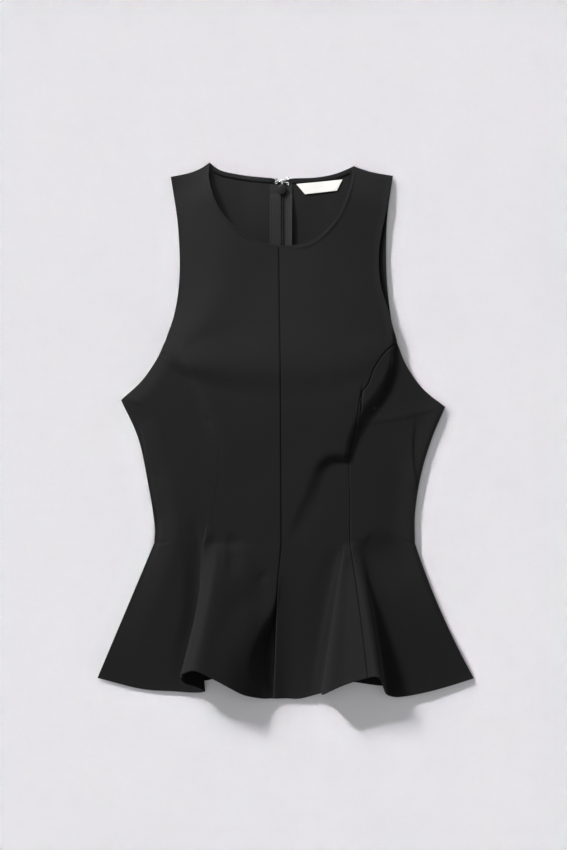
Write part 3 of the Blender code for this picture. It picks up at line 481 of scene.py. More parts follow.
def zip_tape(side):
    y = np.linspace(TAPE_TOP_Y, ZIP_END_Y, 221)
    across = spread(20, 0.3)[::-1]
    inner = centre_back_split(y)[:, None]
    x = BACK_CENTRE_X + OUTWARD[side] * (inner + (TAPE_WIDTH[side] - inner) * across)
    plan = np.dstack([x, np.repeat(y[:, None], len(across), axis=1)])
    grid = on_back(plan, SEAM_GAP)
    grid[..., 2] += tape_stand(side, across, y[:, None])
    ribs = np.sin(across * math.pi * 9) * SELVEDGE_RIB * smooth((across - 0.15) / 0.2)
    below_fold = smooth((266.0 - y[:, None]) / 1.5)
    fold = 0.8 * np.exp(-((y[:, None] - 266.6) / 1.5) ** 2)
    grid[..., 2] += ribs * below_fold - fold
    tape = cloth_sheet(f"{side}_zip_tape", grid, TAPE_WALL, -OUTWARD[side], tape_cloth, 0.3)
    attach(tape, "garment")
    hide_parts(f"zip_tape_{side}")
    return tape


def join(pieces, name):
    """Joins meshes into one object at the origin."""
    deselect_all()
    for piece in pieces:
        piece.select_set(True)
    bpy.context.view_layer.objects.active = pieces[0]
    bpy.ops.object.join()
    pieces[0].name = name
    return pieces[0]


def at_origin(obj):
    """Puts an object's place, turn and size into its mesh."""
    deselect_all()
    obj.select_set(True)
    bpy.context.view_layer.objects.active = obj
    bpy.ops.object.transform_apply(location=True, rotation=True, scale=True)
    return obj


def zip_coil(side):
    """One half of the coil: a row of bent nylon loops, each reaching over the centre line."""
    top = SLIDER["y"] - SLIDER["length"] / 2 - 0.4
    count = int((top - ZIP_END_Y - 3.0) / TOOTH_PITCH)
    out = OUTWARD[side]
    low = WALL + SEAM_GAP + TAPE_WALL + 0.12
    stagger = 0.0 if side == "left" else TOOTH_PITCH / 2
    points, faces = [], []
    for index in range(count):
        y = top - 0.5 - stagger - index * TOOTH_PITCH
        floor_z = float(back_under(np.array([BACK_CENTRE_X]), np.array([y]))[0]) + low
        path = [(out * 2.1, y + 0.1, 0.34), (out * 1.3, y + 0.06, 0.62), (out * 0.3, y, 0.66),
                (out * 0.22, y, 0.3), (out * 1.3, y - 0.1, 0.2), (out * 2.1, y - 0.3, 0.22)]
        base = len(points)
        for step, (px, py, pz) in enumerate(path):
            back, ahead = path[max(step - 1, 0)], path[min(step + 1, len(path) - 1)]
            along = np.array(ahead) - np.array(back)
            along /= np.linalg.norm(along)
            flat = np.cross(along, (0, 1, 0))
            flat /= np.linalg.norm(flat)
            wide = np.cross(along, flat)
            for corner in range(TOOTH_SIDES):
                turn = 2 * math.pi * corner / TOOTH_SIDES
                place = np.array((px, py, pz)) + 0.26 * math.cos(turn) * flat + 0.36 * math.sin(turn) * wide
                points.append((BACK_CENTRE_X + place[0], place[1], floor_z + place[2]))
        for step in range(len(path) - 1):
            for corner in range(TOOTH_SIDES):
                a = base + step * TOOTH_SIDES + corner
                b = base + step * TOOTH_SIDES + (corner + 1) % TOOTH_SIDES
                faces.append((a, b, b + TOOTH_SIDES, a + TOOTH_SIDES))
        faces.append(tuple(base + c for c in reversed(range(TOOTH_SIDES))))
        last = base + (len(path) - 1) * TOOTH_SIDES
        faces.append(tuple(last + c for c in range(TOOTH_SIDES)))
    mesh = bpy.data.meshes.new(f"{side}_zip_coil")
    mesh.from_pydata([tuple(c * MM for c in p) for p in points], [], faces)
    coil = bpy.data.objects.new(mesh.name, mesh)
    bpy.context.scene.collection.objects.link(coil)
    deselect_all()
    coil.select_set(True)
    bpy.context.view_layer.objects.active = coil
    bpy.ops.object.mode_set(mode="EDIT")
    bpy.ops.mesh.select_all(action="SELECT")
    bpy.ops.mesh.normals_make_consistent(inside=False)
    bpy.ops.object.mode_set(mode="OBJECT")
    bpy.ops.object.shade_smooth()
    coil.data.materials.append(nylon)
    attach(coil, "garment")
    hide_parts(f"zip_coil_{side}")
    return coil


for side in SIDE_SEAM:
    zip_tape(side)
    zip_coil(side)


# Above the zip the neck is held by a small hook and eye of bright plated wire. The hook is a doubled wire
# whose nose turns down and back under the eye's bow, and each is sewn to the back through its two rings.
WIRE = 0.8
HOOK = {"y": 281.2, "reach": 6.4, "ring": 1.3, "spread": 1.1, "nose": 1.6, "bill": 1.2, "bow": 3.4, "catch": 0.2}
BINDING_WALL = 1.0
NICKEL = (0.78, 0.78, 0.79)
nickel = plain_material("bright_nickel", NICKEL, 0.2, 1.0, 0.05)
FASTENING_LOW = HUMP["height"] + WALL + SEAM_GAP + BINDING_WALL + SEAM_GAP + WIRE / 2


def arc(centre, radius, start, end, steps, z):
    """Points along an arc in plan. Angles are in degrees, from +X towards +Y."""
    angles = np.radians(np.linspace(start, end, steps + 1))
    return [(centre[0] + radius * math.cos(a), centre[1] + radius * math.sin(a), z) for a in angles]


def bent_wire(name, half, node_name):
    """A round wire through a half path in millimetres and its mirror image across the hook's own line."""
    path = half + [(px, 2 * HOOK["y"] - py, pz) for px, py, pz in reversed(half)]
    knots = np.vstack([through(path, np.linspace(0, len(path) - 1, 6 * len(path)))])
    curve = bpy.data.curves.new(name, "CURVE")
    curve.dimensions = "3D"
    curve.bevel_depth = WIRE / 2 * MM
    curve.bevel_resolution = 4
    curve.use_fill_caps = True
    spline = curve.splines.new("POLY")
    spline.points.add(len(knots) - 1)
    for point, place in zip(spline.points, knots):
        point.co = (*(c * MM for c in place), 1.0)
    wire = bpy.data.objects.new(name, curve)
    bpy.context.scene.collection.objects.link(wire)
    deselect_all()
    wire.select_set(True)
    bpy.context.view_layer.objects.active = wire
    bpy.ops.object.convert(target="MESH")
    wire = bpy.context.object
    bpy.ops.object.shade_smooth()
    wire.data.materials.clear()
    wire.data.materials.append(nickel)
    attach(wire, "garment")
    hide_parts(node_name)
    return wire


x, y, low, reach = BACK_CENTRE_X, HOOK["y"], FASTENING_LOW, HOOK["reach"]
top = low + 2 * (WIRE + SEAM_GAP)
side = HOOK["spread"] / 2
half = arc((x - reach, y + side + HOOK["ring"]), HOOK["ring"], 0, 270, 9, low)
half += [(x - reach * 0.6, y + side, low), (x - reach * 0.4, y + side, top)]
half += [(x + HOOK["nose"], y + side, top), (x + HOOK["nose"] + 0.8, y + side, (low + top) / 2)]
half += [(x + HOOK["nose"], y + side, low), (x - HOOK["bill"], y + side, low)]
bent_wire("neck_hook", half, "hook")

side = HOOK["bow"] / 2
middle = low + WIRE + SEAM_GAP
half = arc((x + reach, y + side + HOOK["ring"]), HOOK["ring"], 180, -90, 9, low)
half += [(x + HOOK["nose"] + 2.4, y + side, low), (x + HOOK["nose"] + 1.2, y + side, middle)]
half += arc((x + side + HOOK["catch"], y), side, 90, 170, 4, middle)
bent_wire("neck_eye", half, "eye")


# The slider is one enamelled casting: a low dome with rounded shoulders over the coils, a raised rib down
# its middle, and a thin neck through the slit that ends in a round eye for the pull's pin.
def set_box(name, low_corner, high_corner):
    """A box between two corners, added as a cube at its size and place."""
    deselect_all()
    low_corner, high_corner = np.array(low_corner), np.array(high_corner)
    bpy.ops.mesh.primitive_cube_add(size=1, location=tuple((low_corner + high_corner) / 2 * MM))
    box = bpy.context.object
    box.name = name
    box.scale = tuple((high_corner - low_corner) * MM)
    return at_origin(box)


def set_disc(name, centre, radius, width, axis="X", sides=48):
    """A short cylinder along an axis, added at its size and place."""
    deselect_all()
    turn = (0, math.pi / 2, 0) if axis == "X" else (0, 0, 0)
    bpy.ops.mesh.primitive_cylinder_add(vertices=sides, radius=radius * MM, depth=width * MM, rotation=turn,
                                        location=tuple(c * MM for c in centre))
    disc = bpy.context.object
    disc.name = name
    return at_origin(disc)


def combined(obj, other, operation):
    """Adds another shape to an object or cuts it out, and removes the other shape."""
    modifier_applied(obj, "combine", "BOOLEAN", operation=operation, object=other)
    bpy.data.objects.remove(other, do_unlink=True)
    return obj


x, y = BACK_CENTRE_X, SLIDER["y"]
slider = set_disc("zip_slider_body", (0, 0, 0), 0.5, 1.0, "Z", 64)
slider.scale = (SLIDER["width"], SLIDER["length"], SLIDER["height"])
slider.location = (x * MM, y * MM, (SLIDER["low"] + SLIDER["height"] / 2) * MM)
at_origin(slider)
modifier_applied(slider, "shoulder", "BEVEL", width=1.3 * MM, segments=5, limit_method="ANGLE",
                 angle_limit=math.radians(50))
rib = set_box("rib", (x - 0.9, y - 4.4, SLIDER["low"] + 2.0), (x + 0.9, y + 4.4, SLIDER["low"] + SLIDER["height"] + 0.35))
modifier_applied(rib, "soft", "BEVEL", width=0.4 * MM, segments=3)
combined(slider, rib, "UNION")
half = SLIDER["neck"] / 2
combined(slider, set_box("neck", (x - half, y - 1.2, PULL["z"]), (x + half, y + 1.2, SLIDER["low"] + 1)), "UNION")
combined(slider, set_disc("eye_round", (x, y, PULL["z"]), PULL["eye"], SLIDER["neck"]), "UNION")
hole = set_disc("eye_hole", (x, y, PULL["z"]), PULL["pin"] + SEAM_GAP, 3 * SLIDER["neck"], sides=24)
combined(slider, hole, "DIFFERENCE")
slider.data.materials.clear()
slider.data.materials.append(enamel)
deselect_all()
slider.select_set(True)
bpy.context.view_layer.objects.active = slider
bpy.ops.object.shade_smooth_by_angle(angle=math.radians(35))
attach(slider, "garment")
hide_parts("zip_slider")

fork = SLIDER["neck"] / 2 + SEAM_GAP
wide, thick = PULL["width"] / 2, PULL["wall"] / 2
pull = set_box("zip_pull_tab", (x - wide, y - PULL["length"], PULL["z"] - thick),
               (x + wide, y + PULL["head"], PULL["z"] + thick))
modifier_applied(pull, "corners", "BEVEL", width=0.6 * MM, segments=5, affect="EDGES", limit_method="ANGLE",
                 angle_limit=math.radians(60), harden_normals=False)
slot_reach = PULL["eye"] + SEAM_GAP
combined(pull, set_box("fork_slot", (x - fork, y - slot_reach, PULL["z"] - 2 * thick),
                       (x + fork, y + 2 * PULL["head"], PULL["z"] + 2 * thick)), "DIFFERENCE")
combined(pull, set_disc("pull_pin", (x, y, PULL["z"]), PULL["pin"], 2 * fork + 1.0, sides=24), "UNION")
panel = set_box("tab_panel", (x - wide + 1.0, y - PULL["length"] + 1.2, PULL["z"] - 2 * thick),
                (x + wide - 1.0, y - 8.0, PULL["z"] - thick + 0.2))
combined(pull, panel, "DIFFERENCE")
pull.data.materials.clear()
pull.data.materials.append(enamel)
deselect_all()
pull.select_set(True)
bpy.context.view_layer.objects.active = pull
bpy.ops.object.shade_smooth_by_angle(angle=math.radians(35))
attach(pull, "zip_pull")
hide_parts("zip_pull")


# A narrow binding of the same crepe finishes the inside of the back neck. A cream satin label with
# mitred ends, its face left bare, is caught to it at both upper corners.
BINDING_WIDTH = 4.6
LABEL_CORNERS = [(11.9, 277.8), (64.0, 283.2), (57.6, 270.6), (21.8, 266.4)]
CREAM_SATIN = (0.60, 0.59, 0.57)


def neck_binding(side):
    edge = run(BACK_NECK[side][:-3], even(40))[4:]
    edge = run(edge, even(70))
    along = np.gradient(edge, axis=0)
    down = np.stack([along[:, 1], -along[:, 0]], axis=1) * -OUTWARD[side]
    down /= np.linalg.norm(down, axis=1, keepdims=True)
    across = spread(10, 0.5)
    plan = (edge[:, None] + down[:, None] * (across[:, None] * BINDING_WIDTH + 0.1)).transpose(1, 0, 2)
    grid = on_back(plan, SEAM_GAP)
    grid[..., 2] += 0.25 * np.sin(math.pi * across)[:, None] ** 0.7
    band = cloth_sheet(f"{side}_neck_binding", grid, BINDING_WALL, -OUTWARD[side], crepe)
    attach(band, "garment")
    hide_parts(f"neck_binding_{side}")
    return band


for side in SIDE_SEAM:
    neck_binding(side)

satin = crepe_material("cream_satin", CREAM_SATIN, weave_height=0.00006, pitch=4200.0, sheen=0.1)
shader = satin.node_tree.nodes["Principled BSDF"]
shader.inputs["Anisotropic"].default_value = 0.3
corners = [np.array(corner) for corner in LABEL_CORNERS]
u = spread(60, 0.5)[None, :, None]
v = spread(16, 0.5)[:, None, None]
plan = (1 - v) * ((1 - u) * corners[0] + u * corners[1]) + v * ((1 - u) * corners[3] + u * corners[2])
grid = on_back(plan, SEAM_GAP)
bulge = np.sin(math.pi * u[..., 0]) ** 0.5 * v[..., 0]
grid[..., 2] += 0.5 * bulge + 0.12 * np.sin(u[..., 0] * 9.0) * v[..., 0]
label = cloth_sheet("bare_neck_label", grid, 0.8, 1.0, satin, 0.3)
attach(label, "garment")
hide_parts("label")


# The front is four panels of the same crepe, cut in one from the shoulder or underarm to the hem and
# joined at the centre front and at two princess seams, which turn down into fine grooves. It lies over
# the back, lofted at the bust and flared below the waist, where the hem stands up in two soft flutes.
FRONT_REST = WALL + SEAM_GAP + WALL / 2
CENTRE_FRONT = [(-7.4, 207.6), (-5.6, 60.0), (-4.6, WAIST_Y)]
FRONT_ARMHOLE = {
    "left": [(-129.0, 286.0), (-121.0, 232.0), (-119.0, 178.0), (-124.0, 136.0), (-135.0, 101.0)],
    "right": [(120.6, 287.0), (113.5, 250.0), (105.0, 205.0), (106.0, 168.0), (115.0, 136.0), (125.0, 99.0)],
}
UNDERARM = {
    "left": [(-184.6, 35.4), (-162.0, 56.0), (-145.0, 80.0), (-135.0, 101.0)],
    "right": [(179.0, 27.6), (154.0, 48.0), (136.0, 73.0), (125.0, 99.0)],
}
PRINCESS = {
    "left": [(-135.0, 101.0), (-120.0, 71.0), (-96.0, 35.0), (-79.0, 8.0), (-75.0, -20.0), (-78.0, -65.0),
             (-87.3, WAIST_Y)],
    "right": [(125.0, 99.0), (112.0, 89.0), (99.0, 70.0), (93.0, 54.0), (84.0, 40.0), (80.0, 15.0),
              (71.5, -35.0), (72.5, -75.0), (72.5, WAIST_Y)],
}
FRONT_NECK = {
    "left": [(-85.0, 302.0), (-85.5, 281.0), (-75.0, 251.0), (-52.0, 224.0), (-26.0, 211.5), CENTRE_FRONT[0]],
    "right": [(76.0, 298.0), (73.5, 280.0), (65.0, 256.0), (47.0, 228.0), (20.0, 211.0), CENTRE_FRONT[0]],
}
# Fold lines of the peplum: name, x at the waist, then x, y and height at the hem, and bow to the right
FOLDS = {
    "left": [
        ("side seam", -147.4, -211.4, -276.8, 0.0, 0.0),
        ("side panel", -127.8, -162.7, -289.0, 0.8, 0.0),
        ("side panel edge", -112.0, -126.7, -291.7, 1.5, 0.0),
        ("foot of the roll", -103.0, -101.9, -293.1, 3.0, -2.0),
        ("roll turns back", -97.0, -90.7, -290.8, 8.5, -1.5),
        ("inside of the roll", -92.0, -102.1, -284.8, 16.0, -0.5),
        ("princess seam", -87.3, -113.4, -280.0, 24.0, 0.5),
        ("rim of the roll", -83.0, -117.0, -272.6, 33.0, 1.5),
        ("upper rim", -79.0, -111.7, -267.0, 42.0, 2.5),
        ("top of the roll", -75.0, -100.2, -264.0, 47.0, 2.0),
        ("past the top", -69.5, -82.6, -272.2, 44.0, 1.0),
        ("upper slope", -61.4, -64.1, -282.8, 37.0, 0.0),
        ("lower slope", -45.7, -46.5, -293.1, 25.0, 0.0),
        ("valley", -26.6, -27.9, -298.6, 10.0, 0.0),
        ("centre front", -4.6, -13.1, -299.6, 5.5, -1.6),
    ],
    "right": [
        ("side seam", 145.0, 211.4, -277.1, 0.0, -4.5),
        ("side panel", 127.6, 185.0, -285.4, 2.6, -3.5),
        ("side panel middle", 110.7, 155.7, -293.0, 4.4, -2.0),
        ("floor", 94.5, 127.6, -297.8, 5.0, 0.0),
        ("foot of the drop", 87.0, 114.5, -294.8, 11.0, 1.0),
        ("drop", 82.5, 109.8, -286.0, 26.0, 2.0),
        ("edge", 79.0, 106.8, -276.8, 38.0, 2.0),
        ("crest", 76.0, 101.6, -271.2, 42.0, 1.0),
        ("princess seam", 72.5, 91.3, -272.3, 39.0, 1.0),
        ("plateau", 70.5, 66.0, -280.7, 35.0, 0.0),
        ("ridge", 66.5, 42.0, -291.6, 32.0, 0.0),
        ("foot of the ridge", 63.0, 40.0, -293.0, 9.0, 0.0),
        ("low stretch", 36.0, 17.0, -299.6, 3.0, 0.0),
        ("beside the centre", 7.2, 0.5, -299.6, 2.0, 0.0),
        ("centre front", -4.6, -13.1, -299.6, 5.5, -1.6),
    ],
}
SEAM_FOLD = {"left": 6, "right": 8}
LAST_FOLD = 14
FOLD_RISE = 0.95
# How high the front stands over the back down its middle: y and height
LOFT = [(310.0, 12.5), (250.0, 12.5), (170.0, 10.5), (90.0, 9.5), (20.0, 8.5), (-60.0, 7.0), (-125.0, 6.0),
        (-220.0, 5.0), (-310.0, 3.0)]
# The edges it rounds off towards: x, y, the width of the rounding, and the share of the height left there
LOFT_EDGES = {
    "left": [(-129.0, 286.0, 66.0, 0.0), (-121.0, 232.0, 66.0, 0.0), (-119.0, 178.0, 60.0, 0.0),
             (-124.0, 136.0, 44.0, 0.0), (-135.0, 101.0, 24.0, 0.5), (-160.0, 58.0, 18.0, 0.5),
             (-184.6, 35.4, 24.0, 0.2), (-165.0, -9.6, 30.0, 0.0), (-153.5, -64.0, 28.0, 0.0),
             (-147.4, -125.0, 26.0, 0.0), (-211.4, -276.8, 34.0, 0.0)],
    "right": [(120.6, 287.0, 90.0, 0.3), (113.5, 250.0, 90.0, 0.38), (105.0, 205.0, 90.0, 0.44),
              (106.0, 168.0, 90.0, 0.5), (115.0, 136.0, 88.0, 0.5), (125.0, 99.0, 86.0, 0.45),
              (154.0, 48.0, 92.0, 0.25), (179.0, 27.6, 100.0, 0.1), (164.0, -8.0, 100.0, 0.1),
              (152.0, -48.0, 100.0, 0.1), (145.0, -125.0, 90.0, 0.1), (211.4, -277.1, 60.0, 0.1)],
}
SHOULDER_ROUNDING = 40.0
SIDE_ROUNDING = {"left": 9.0, "right": 5.0}
# Soft swells: name, centre x and y, reach along x and y, and height
SWELLS = [
    ("left side panel", -125.0, -150.0, 44.0, 120.0, 2.5),
    ("right side panel", 200.0, -215.0, 92.0, 140.0, 3.4),
]
# The bust cups fall away at lines of x, y and the width of the fall. The side that stays up is on the left
CUPS = {
    "left": {
        "centre": (-58.0, 60.0), "reach": (105.0, 130.0), "height": 5.0,
        "falls": [[(-122.0, 103.0, 14.0), (-111.0, 72.0, 13.0), (-98.0, 46.0, 14.0), (-90.0, 28.0, 17.0),
                   (-82.0, 8.0, 26.0), (-76.0, -30.0, 44.0), (-74.0, -90.0, 54.0)]],
    },
    "right": {
        "centre": (54.0, 45.0), "reach": (128.0, 190.0), "height": 8.5,
        "falls": [
            [(-30.0, -165.0, 50.0), (4.0, -128.0, 44.0), (18.0, -104.0, 34.0), (25.0, -86.0, 26.0),
             (30.5, -68.0, 20.0), (33.5, -54.6, 17.0), (38.0, -42.0, 15.0), (46.0, -33.0, 14.0),
             (57.0, -30.0, 13.0), (70.0, -31.0, 13.0), (100.0, -32.0, 12.0)],
            [(70.0, -70.0, 10.0), (70.5, -35.0, 12.0), (73.0, -18.0, 15.0), (77.0, -6.0, 17.0),
             (84.0, 9.0, 20.0), (91.0, 20.8, 21.0), (103.0, 36.0, 19.0), (112.0, 52.0, 15.0),
             (117.5, 69.0, 10.0), (120.0, 84.0, 6.0), (121.5, 110.0, 4.0)],
        ],
    },
}
# Creases: x, y, reach to the left and to the right of its direction, and height, or depth where negative
CREASES = {
    "chest fold": [(-127.0, 84.0, 26.0, 14.0, 2.4), (-108.0, 75.0, 30.0, 16.0, 4.2),
                   (-82.0, 72.0, 40.0, 24.0, 3.8), (-50.0, 71.0, 50.0, 30.0, 3.4), (-8.0, 71.0, 56.0, 32.0, 2.4),
                   (36.0, 73.0, 56.0, 32.0, 2.0), (78.0, 79.0, 50.0, 26.0, 1.8), (104.0, 86.0, 38.0, 18.0, 0.6)],
    "lip of the right armhole": [(122.0, 292.0, 44.0, 10.0, 0.4), (115.5, 250.0, 50.0, 10.0, 0.8),
                                 (107.0, 205.0, 50.0, 10.0, 0.9), (108.0, 168.0, 50.0, 10.0, 1.2),
                                 (117.0, 136.0, 50.0, 10.0, 1.6), (127.0, 99.0, 44.0, 12.0, 1.8),
                                 (156.0, 49.0, 26.0, 12.0, 0.8), (184.0, 28.0, 20.0, 12.0, 0.0)],
    "side panel beside the right bust": [(122.0, 108.0, 3.0, 50.0, 1.6), (118.5, 84.0, 4.0, 60.0, 3.2),
                                         (115.0, 64.0, 5.0, 60.0, 3.2), (108.0, 46.0, 7.0, 60.0, 2.2),
                                         (97.0, 28.0, 9.0, 50.0, 1.0), (88.0, 14.0, 9.0, 40.0, 0.0)],
    "nick in the right princess seam": [(83.5, 19.0, 1.6, 1.8, 0.0), (84.4, 29.0, 1.7, 2.0, -1.9),
                                        (84.8, 44.0, 1.6, 2.0, -1.6), (85.8, 55.0, 1.2, 1.5, 0.0)],
    "pit below the right bust": [(50.0, -31.5, 4.0, 3.0, 0.0), (57.0, -33.0, 4.0, 3.0, -1.0),
                                 (68.0, -34.0, 4.5, 3.0, -1.6), (73.0, -33.5, 3.0, 2.0, 0.0)],
    "left side allowance": [(-153.0, -52.0, 2.0, 24.0, 0.0), (-155.0, -40.0, 2.0, 26.0, 1.0),
                            (-157.0, -18.0, 2.4, 28.0, 1.5), (-159.4, -2.0, 2.4, 26.0, 1.2),
                            (-164.0, 9.0, 2.0, 22.0, 0.0)],
    "right side allowance": [(148.0, -66.0, 22.0, 2.0, 0.0), (145.4, -54.0, 24.0, 2.2, 1.2),
                             (142.4, -32.0, 26.0, 2.4, 1.6), (141.8, -11.0, 26.0, 2.6, 1.5),
                             (144.0, 18.0, 24.0, 3.0, 0.0)],
    "valley beside the left flute": [(-118.0, -286.0, 16.0, 8.0, -0.5), (-110.0, -240.0, 18.0, 8.0, -1.6),
                                     (-102.0, -212.0, 18.0, 8.0, -2.8), (-97.5, -180.0, 20.0, 7.0, -3.2),
                                     (-96.0, -150.0, 22.0, 7.0, -2.8), (-99.0, -124.0, 22.0, 8.0, -1.6),
                                     (-104.0, -96.0, 18.0, 8.0, 0.0)],
    "swelling at the left waist": [(-88.0, -104.0, 10.0, 2.0, 0.0), (-89.5, -117.0, 12.0, 2.0, 1.6),
                                   (-92.0, -130.0, 9.0, 2.0, 0.0)],
    "dimple on the left princess seam": [(-84.0, 8.0, 2.0, 2.0, 0.0), (-87.0, 13.5, 2.4, 2.2, -1.3),
                                         (-91.0, 19.0, 2.0, 2.0, 0.0)],
    "line beside the left flute": [(-60.5, -166.0, 8.0, 12.0, 0.0), (-60.3, -146.0, 9.0, 16.0, -1.4),
                                   (-61.0, -135.0, 9.0, 15.0, -0.9), (-60.0, -124.0, 10.0, 16.0, -1.3),
                                   (-59.0, -112.0, 8.0, 12.0, 0.0)],
    "lip of the left neck": [(-87.0, 294.0, 12.0, 4.0, 0.4), (-85.5, 276.0, 16.0, 4.0, 1.8),
                             (-75.0, 251.0, 18.0, 4.0, 2.0), (-52.0, 224.0, 16.0, 4.0, 0.8),
                             (-30.0, 213.0, 12.0, 4.0, 0.0)],
    "dent left of the centre": [(-34.0, -170.0, 6.0, 9.0, 0.0), (-26.0, -163.0, 7.0, 10.0, -0.8),
                                (-17.0, -158.0, 6.0, 8.0, 0.0)],
    "fold over the centre front": [(-26.0, -299.0, 34.0, 8.0, 0.8), (-32.5, -290.0, 36.0, 10.0, 1.8),
                                   (-39.0, -276.0, 38.0, 12.0, 3.4), (-41.5, -262.0, 40.0, 13.0, 4.6),
                                   (-39.5, -246.0, 42.0, 14.0, 5.8), (-34.0, -230.0, 42.0, 14.0, 6.0),
                                   (-26.0, -214.0, 40.0, 12.0, 4.8), (-18.0, -200.0, 34.0, 10.0, 3.0),
                                   (-11.0, -182.0, 28.0, 6.0, 1.4), (-7.0, -158.0, 18.0, 3.0, 0.0)],
    "valley at the centre front": [(-14.0, -299.0, 9.0, 2.0, -3.0), (-14.0, -284.0, 14.0, 2.0, -8.0),
                                   (-13.5, -264.0, 19.0, 2.4, -13.0), (-13.0, -246.0, 19.0, 2.4, -15.0),
                                   (-12.3, -230.0, 14.0, 2.4, -13.0), (-11.5, -215.0, 8.0, 2.0, -9.0),
                                   (-10.7, -202.0, 4.0, 1.6, -5.0), (-9.8, -186.0, 2.0, 1.2, -2.0),
                                   (-8.4, -165.0, 1.6, 1.0, -1.0), (-6.6, -140.0, 1.2, 1.0, 0.0)],
    "tail of the fold below the right bust": [(5.0, -128.0, 10.0, 22.0, 0.0), (15.0, -106.0, 10.0, 20.0, -1.0),
                                              (22.0, -88.0, 9.0, 18.0, -1.2), (30.0, -68.0, 8.0, 14.0, -0.8),
                                              (34.0, -56.0, 6.0, 10.0, 0.0)],
    "valley left of the right flute": [(28.0, -290.0, 18.0, 6.0, -0.6), (36.0, -240.0, 24.0, 6.0, -1.2),
                                       (45.5, -190.0, 26.0, 6.0, -1.6), (54.0, -150.0, 20.0, 6.0, -1.4),
                                       (60.0, -128.0, 12.0, 4.0, 0.0)],
    "right waist": [(76.0, -128.0, 14.0, 20.0, 0.0), (88.0, -135.0, 28.0, 50.0, -2.8),
                    (106.0, -138.0, 32.0, 52.0, -3.6), (126.0, -134.0, 28.0, 50.0, -2.6),
                    (140.0, -126.0, 16.0, 30.0, 0.0)],
    "nick at the left waist": [(-150.0, -126.0, 3.0, 3.0, -0.9), (-138.0, -124.5, 3.0, 3.0, -0.9),
                               (-126.0, -121.0, 2.0, 2.0, 0.0)],
    "nick at the right waist": [(130.0, -122.0, 2.0, 2.0, 0.0), (139.0, -125.0, 3.0, 3.0, -0.9),
                                (147.0, -126.5, 3.0, 3.0, -0.9)],
    "facing inside the right neck": [(2.0, 205.5, 2.0, 3.0, 0.0), (22.0, 207.5, 2.2, 3.6, 0.55),
                                     (36.0, 214.5, 2.2, 3.6, 0.4), (49.0, 226.0, 2.4, 3.8, 0.75),
                                     (62.0, 243.0, 2.2, 3.6, 0.45), (70.0, 262.0, 2.2, 3.4, 0.6),
                                     (76.0, 282.0, 1.8, 2.6, 0.3), (78.5, 294.0, 1.4, 2.0, 0.0)],
}
# How far each panel's edge turns down into its seam, and over what width
SEAM_TURN = {"towards the light": (1.25, 1.0, 0.17), "away from it": (0.35, 0.8, 0.17),
             "right of the centre": (0.05, 0.8, 0.17),
             "left princess": (0.0, 1.0, 0.03), "left side": (0.1, 0.8, 0.03)}


def swell(x, y, centre_x, centre_y, reach_x, reach_y, height):
    r = ((x - centre_x) / reach_x) ** 2 + ((y - centre_y) / reach_y) ** 2
    return height * np.clip(1 - r, 0, 1) ** 2


def beside(x, y, rows):
    """How far each point is to the left of a line, and the line's other columns at the nearest place."""
    path = run(rows, even(12 * (len(rows) - 1)))
    best = np.full(x.shape, 1e9)
    signed = np.zeros(x.shape)
    others = np.zeros((*x.shape, path.shape[1] - 2))
    for a, b in zip(path[:-1], path[1:]):
        d = (b - a)[:2]
        share = np.clip(((x - a[0]) * d[0] + (y - a[1]) * d[1]) / (d @ d), 0, 1)
        dx, dy = x - a[0] - share * d[0], y - a[1] - share * d[1]
        far = np.hypot(dx, dy)
        nearer = far < best
        turn = np.where(d[0] * (y - a[1]) - d[1] * (x - a[0]) >= 0, 1.0, -1.0)
        signed = np.where(nearer, turn * far, signed)
        here = a[2:] + share[..., None] * (b - a)[2:]
        others = np.where(nearer[..., None], here, others)
        best = np.minimum(far, best)
    return signed, others


def crease(x, y, rows):
    off, others = beside(x, y, rows)
    reach = np.where(off > 0, others[..., 0], others[..., 1])
    return others[..., 2] * smooth(1 - np.abs(off) / np.maximum(reach, 0.1))


def cup(x, y, form):
    """A bust cup, which falls away past the lines of its panel and its folds."""
    raised = swell(x, y, *form["centre"], *form["reach"], form["height"])
    for line in form["falls"]:
        off, others = beside(x, y, line)
        raised = raised * smooth(0.5 + off / others[..., 0])
    return raised


def rounded(off, reach):
    """0 at an edge to 1 at the end of its reach, steepest at the edge."""
    return np.sin(np.clip(off / reach, 0, 1) * math.pi / 2)


def front_rise(x, y):
    """How far the front stands above where it would lie flat on the back."""
    heights = run(LOFT, even(80))[::-1]
    rise = np.interp(y, heights[:, 0], heights[:, 1])
    for side, rows in LOFT_EDGES.items():
        off, others = beside(x, y, rows)
        share = others[..., 1]
        rise = rise * (share + (1 - share) * rounded(np.abs(off), others[..., 0]))
    for side in SIDE_SEAM:
        off = np.abs(away_from(x, y, SHOULDER[side]))
        rise = rise * rounded(off, SHOULDER_ROUNDING)
    rise = rise + sum(swell(x, y, *row[1:]) for row in SWELLS)
    rise = rise + sum(cup(x, y, form) for form in CUPS.values())
    for side in SIDE_SEAM:
        line = side_line(side)[::-1]
        seam = np.abs(x - np.interp(y, line[:, 1], line[:, 0]))
        below = smooth((SIDE_SEAM[side][0][1] - y) / 20.0)
        rise = rise * (1 - below + below * rounded(seam, SIDE_ROUNDING[side]))
    return rise


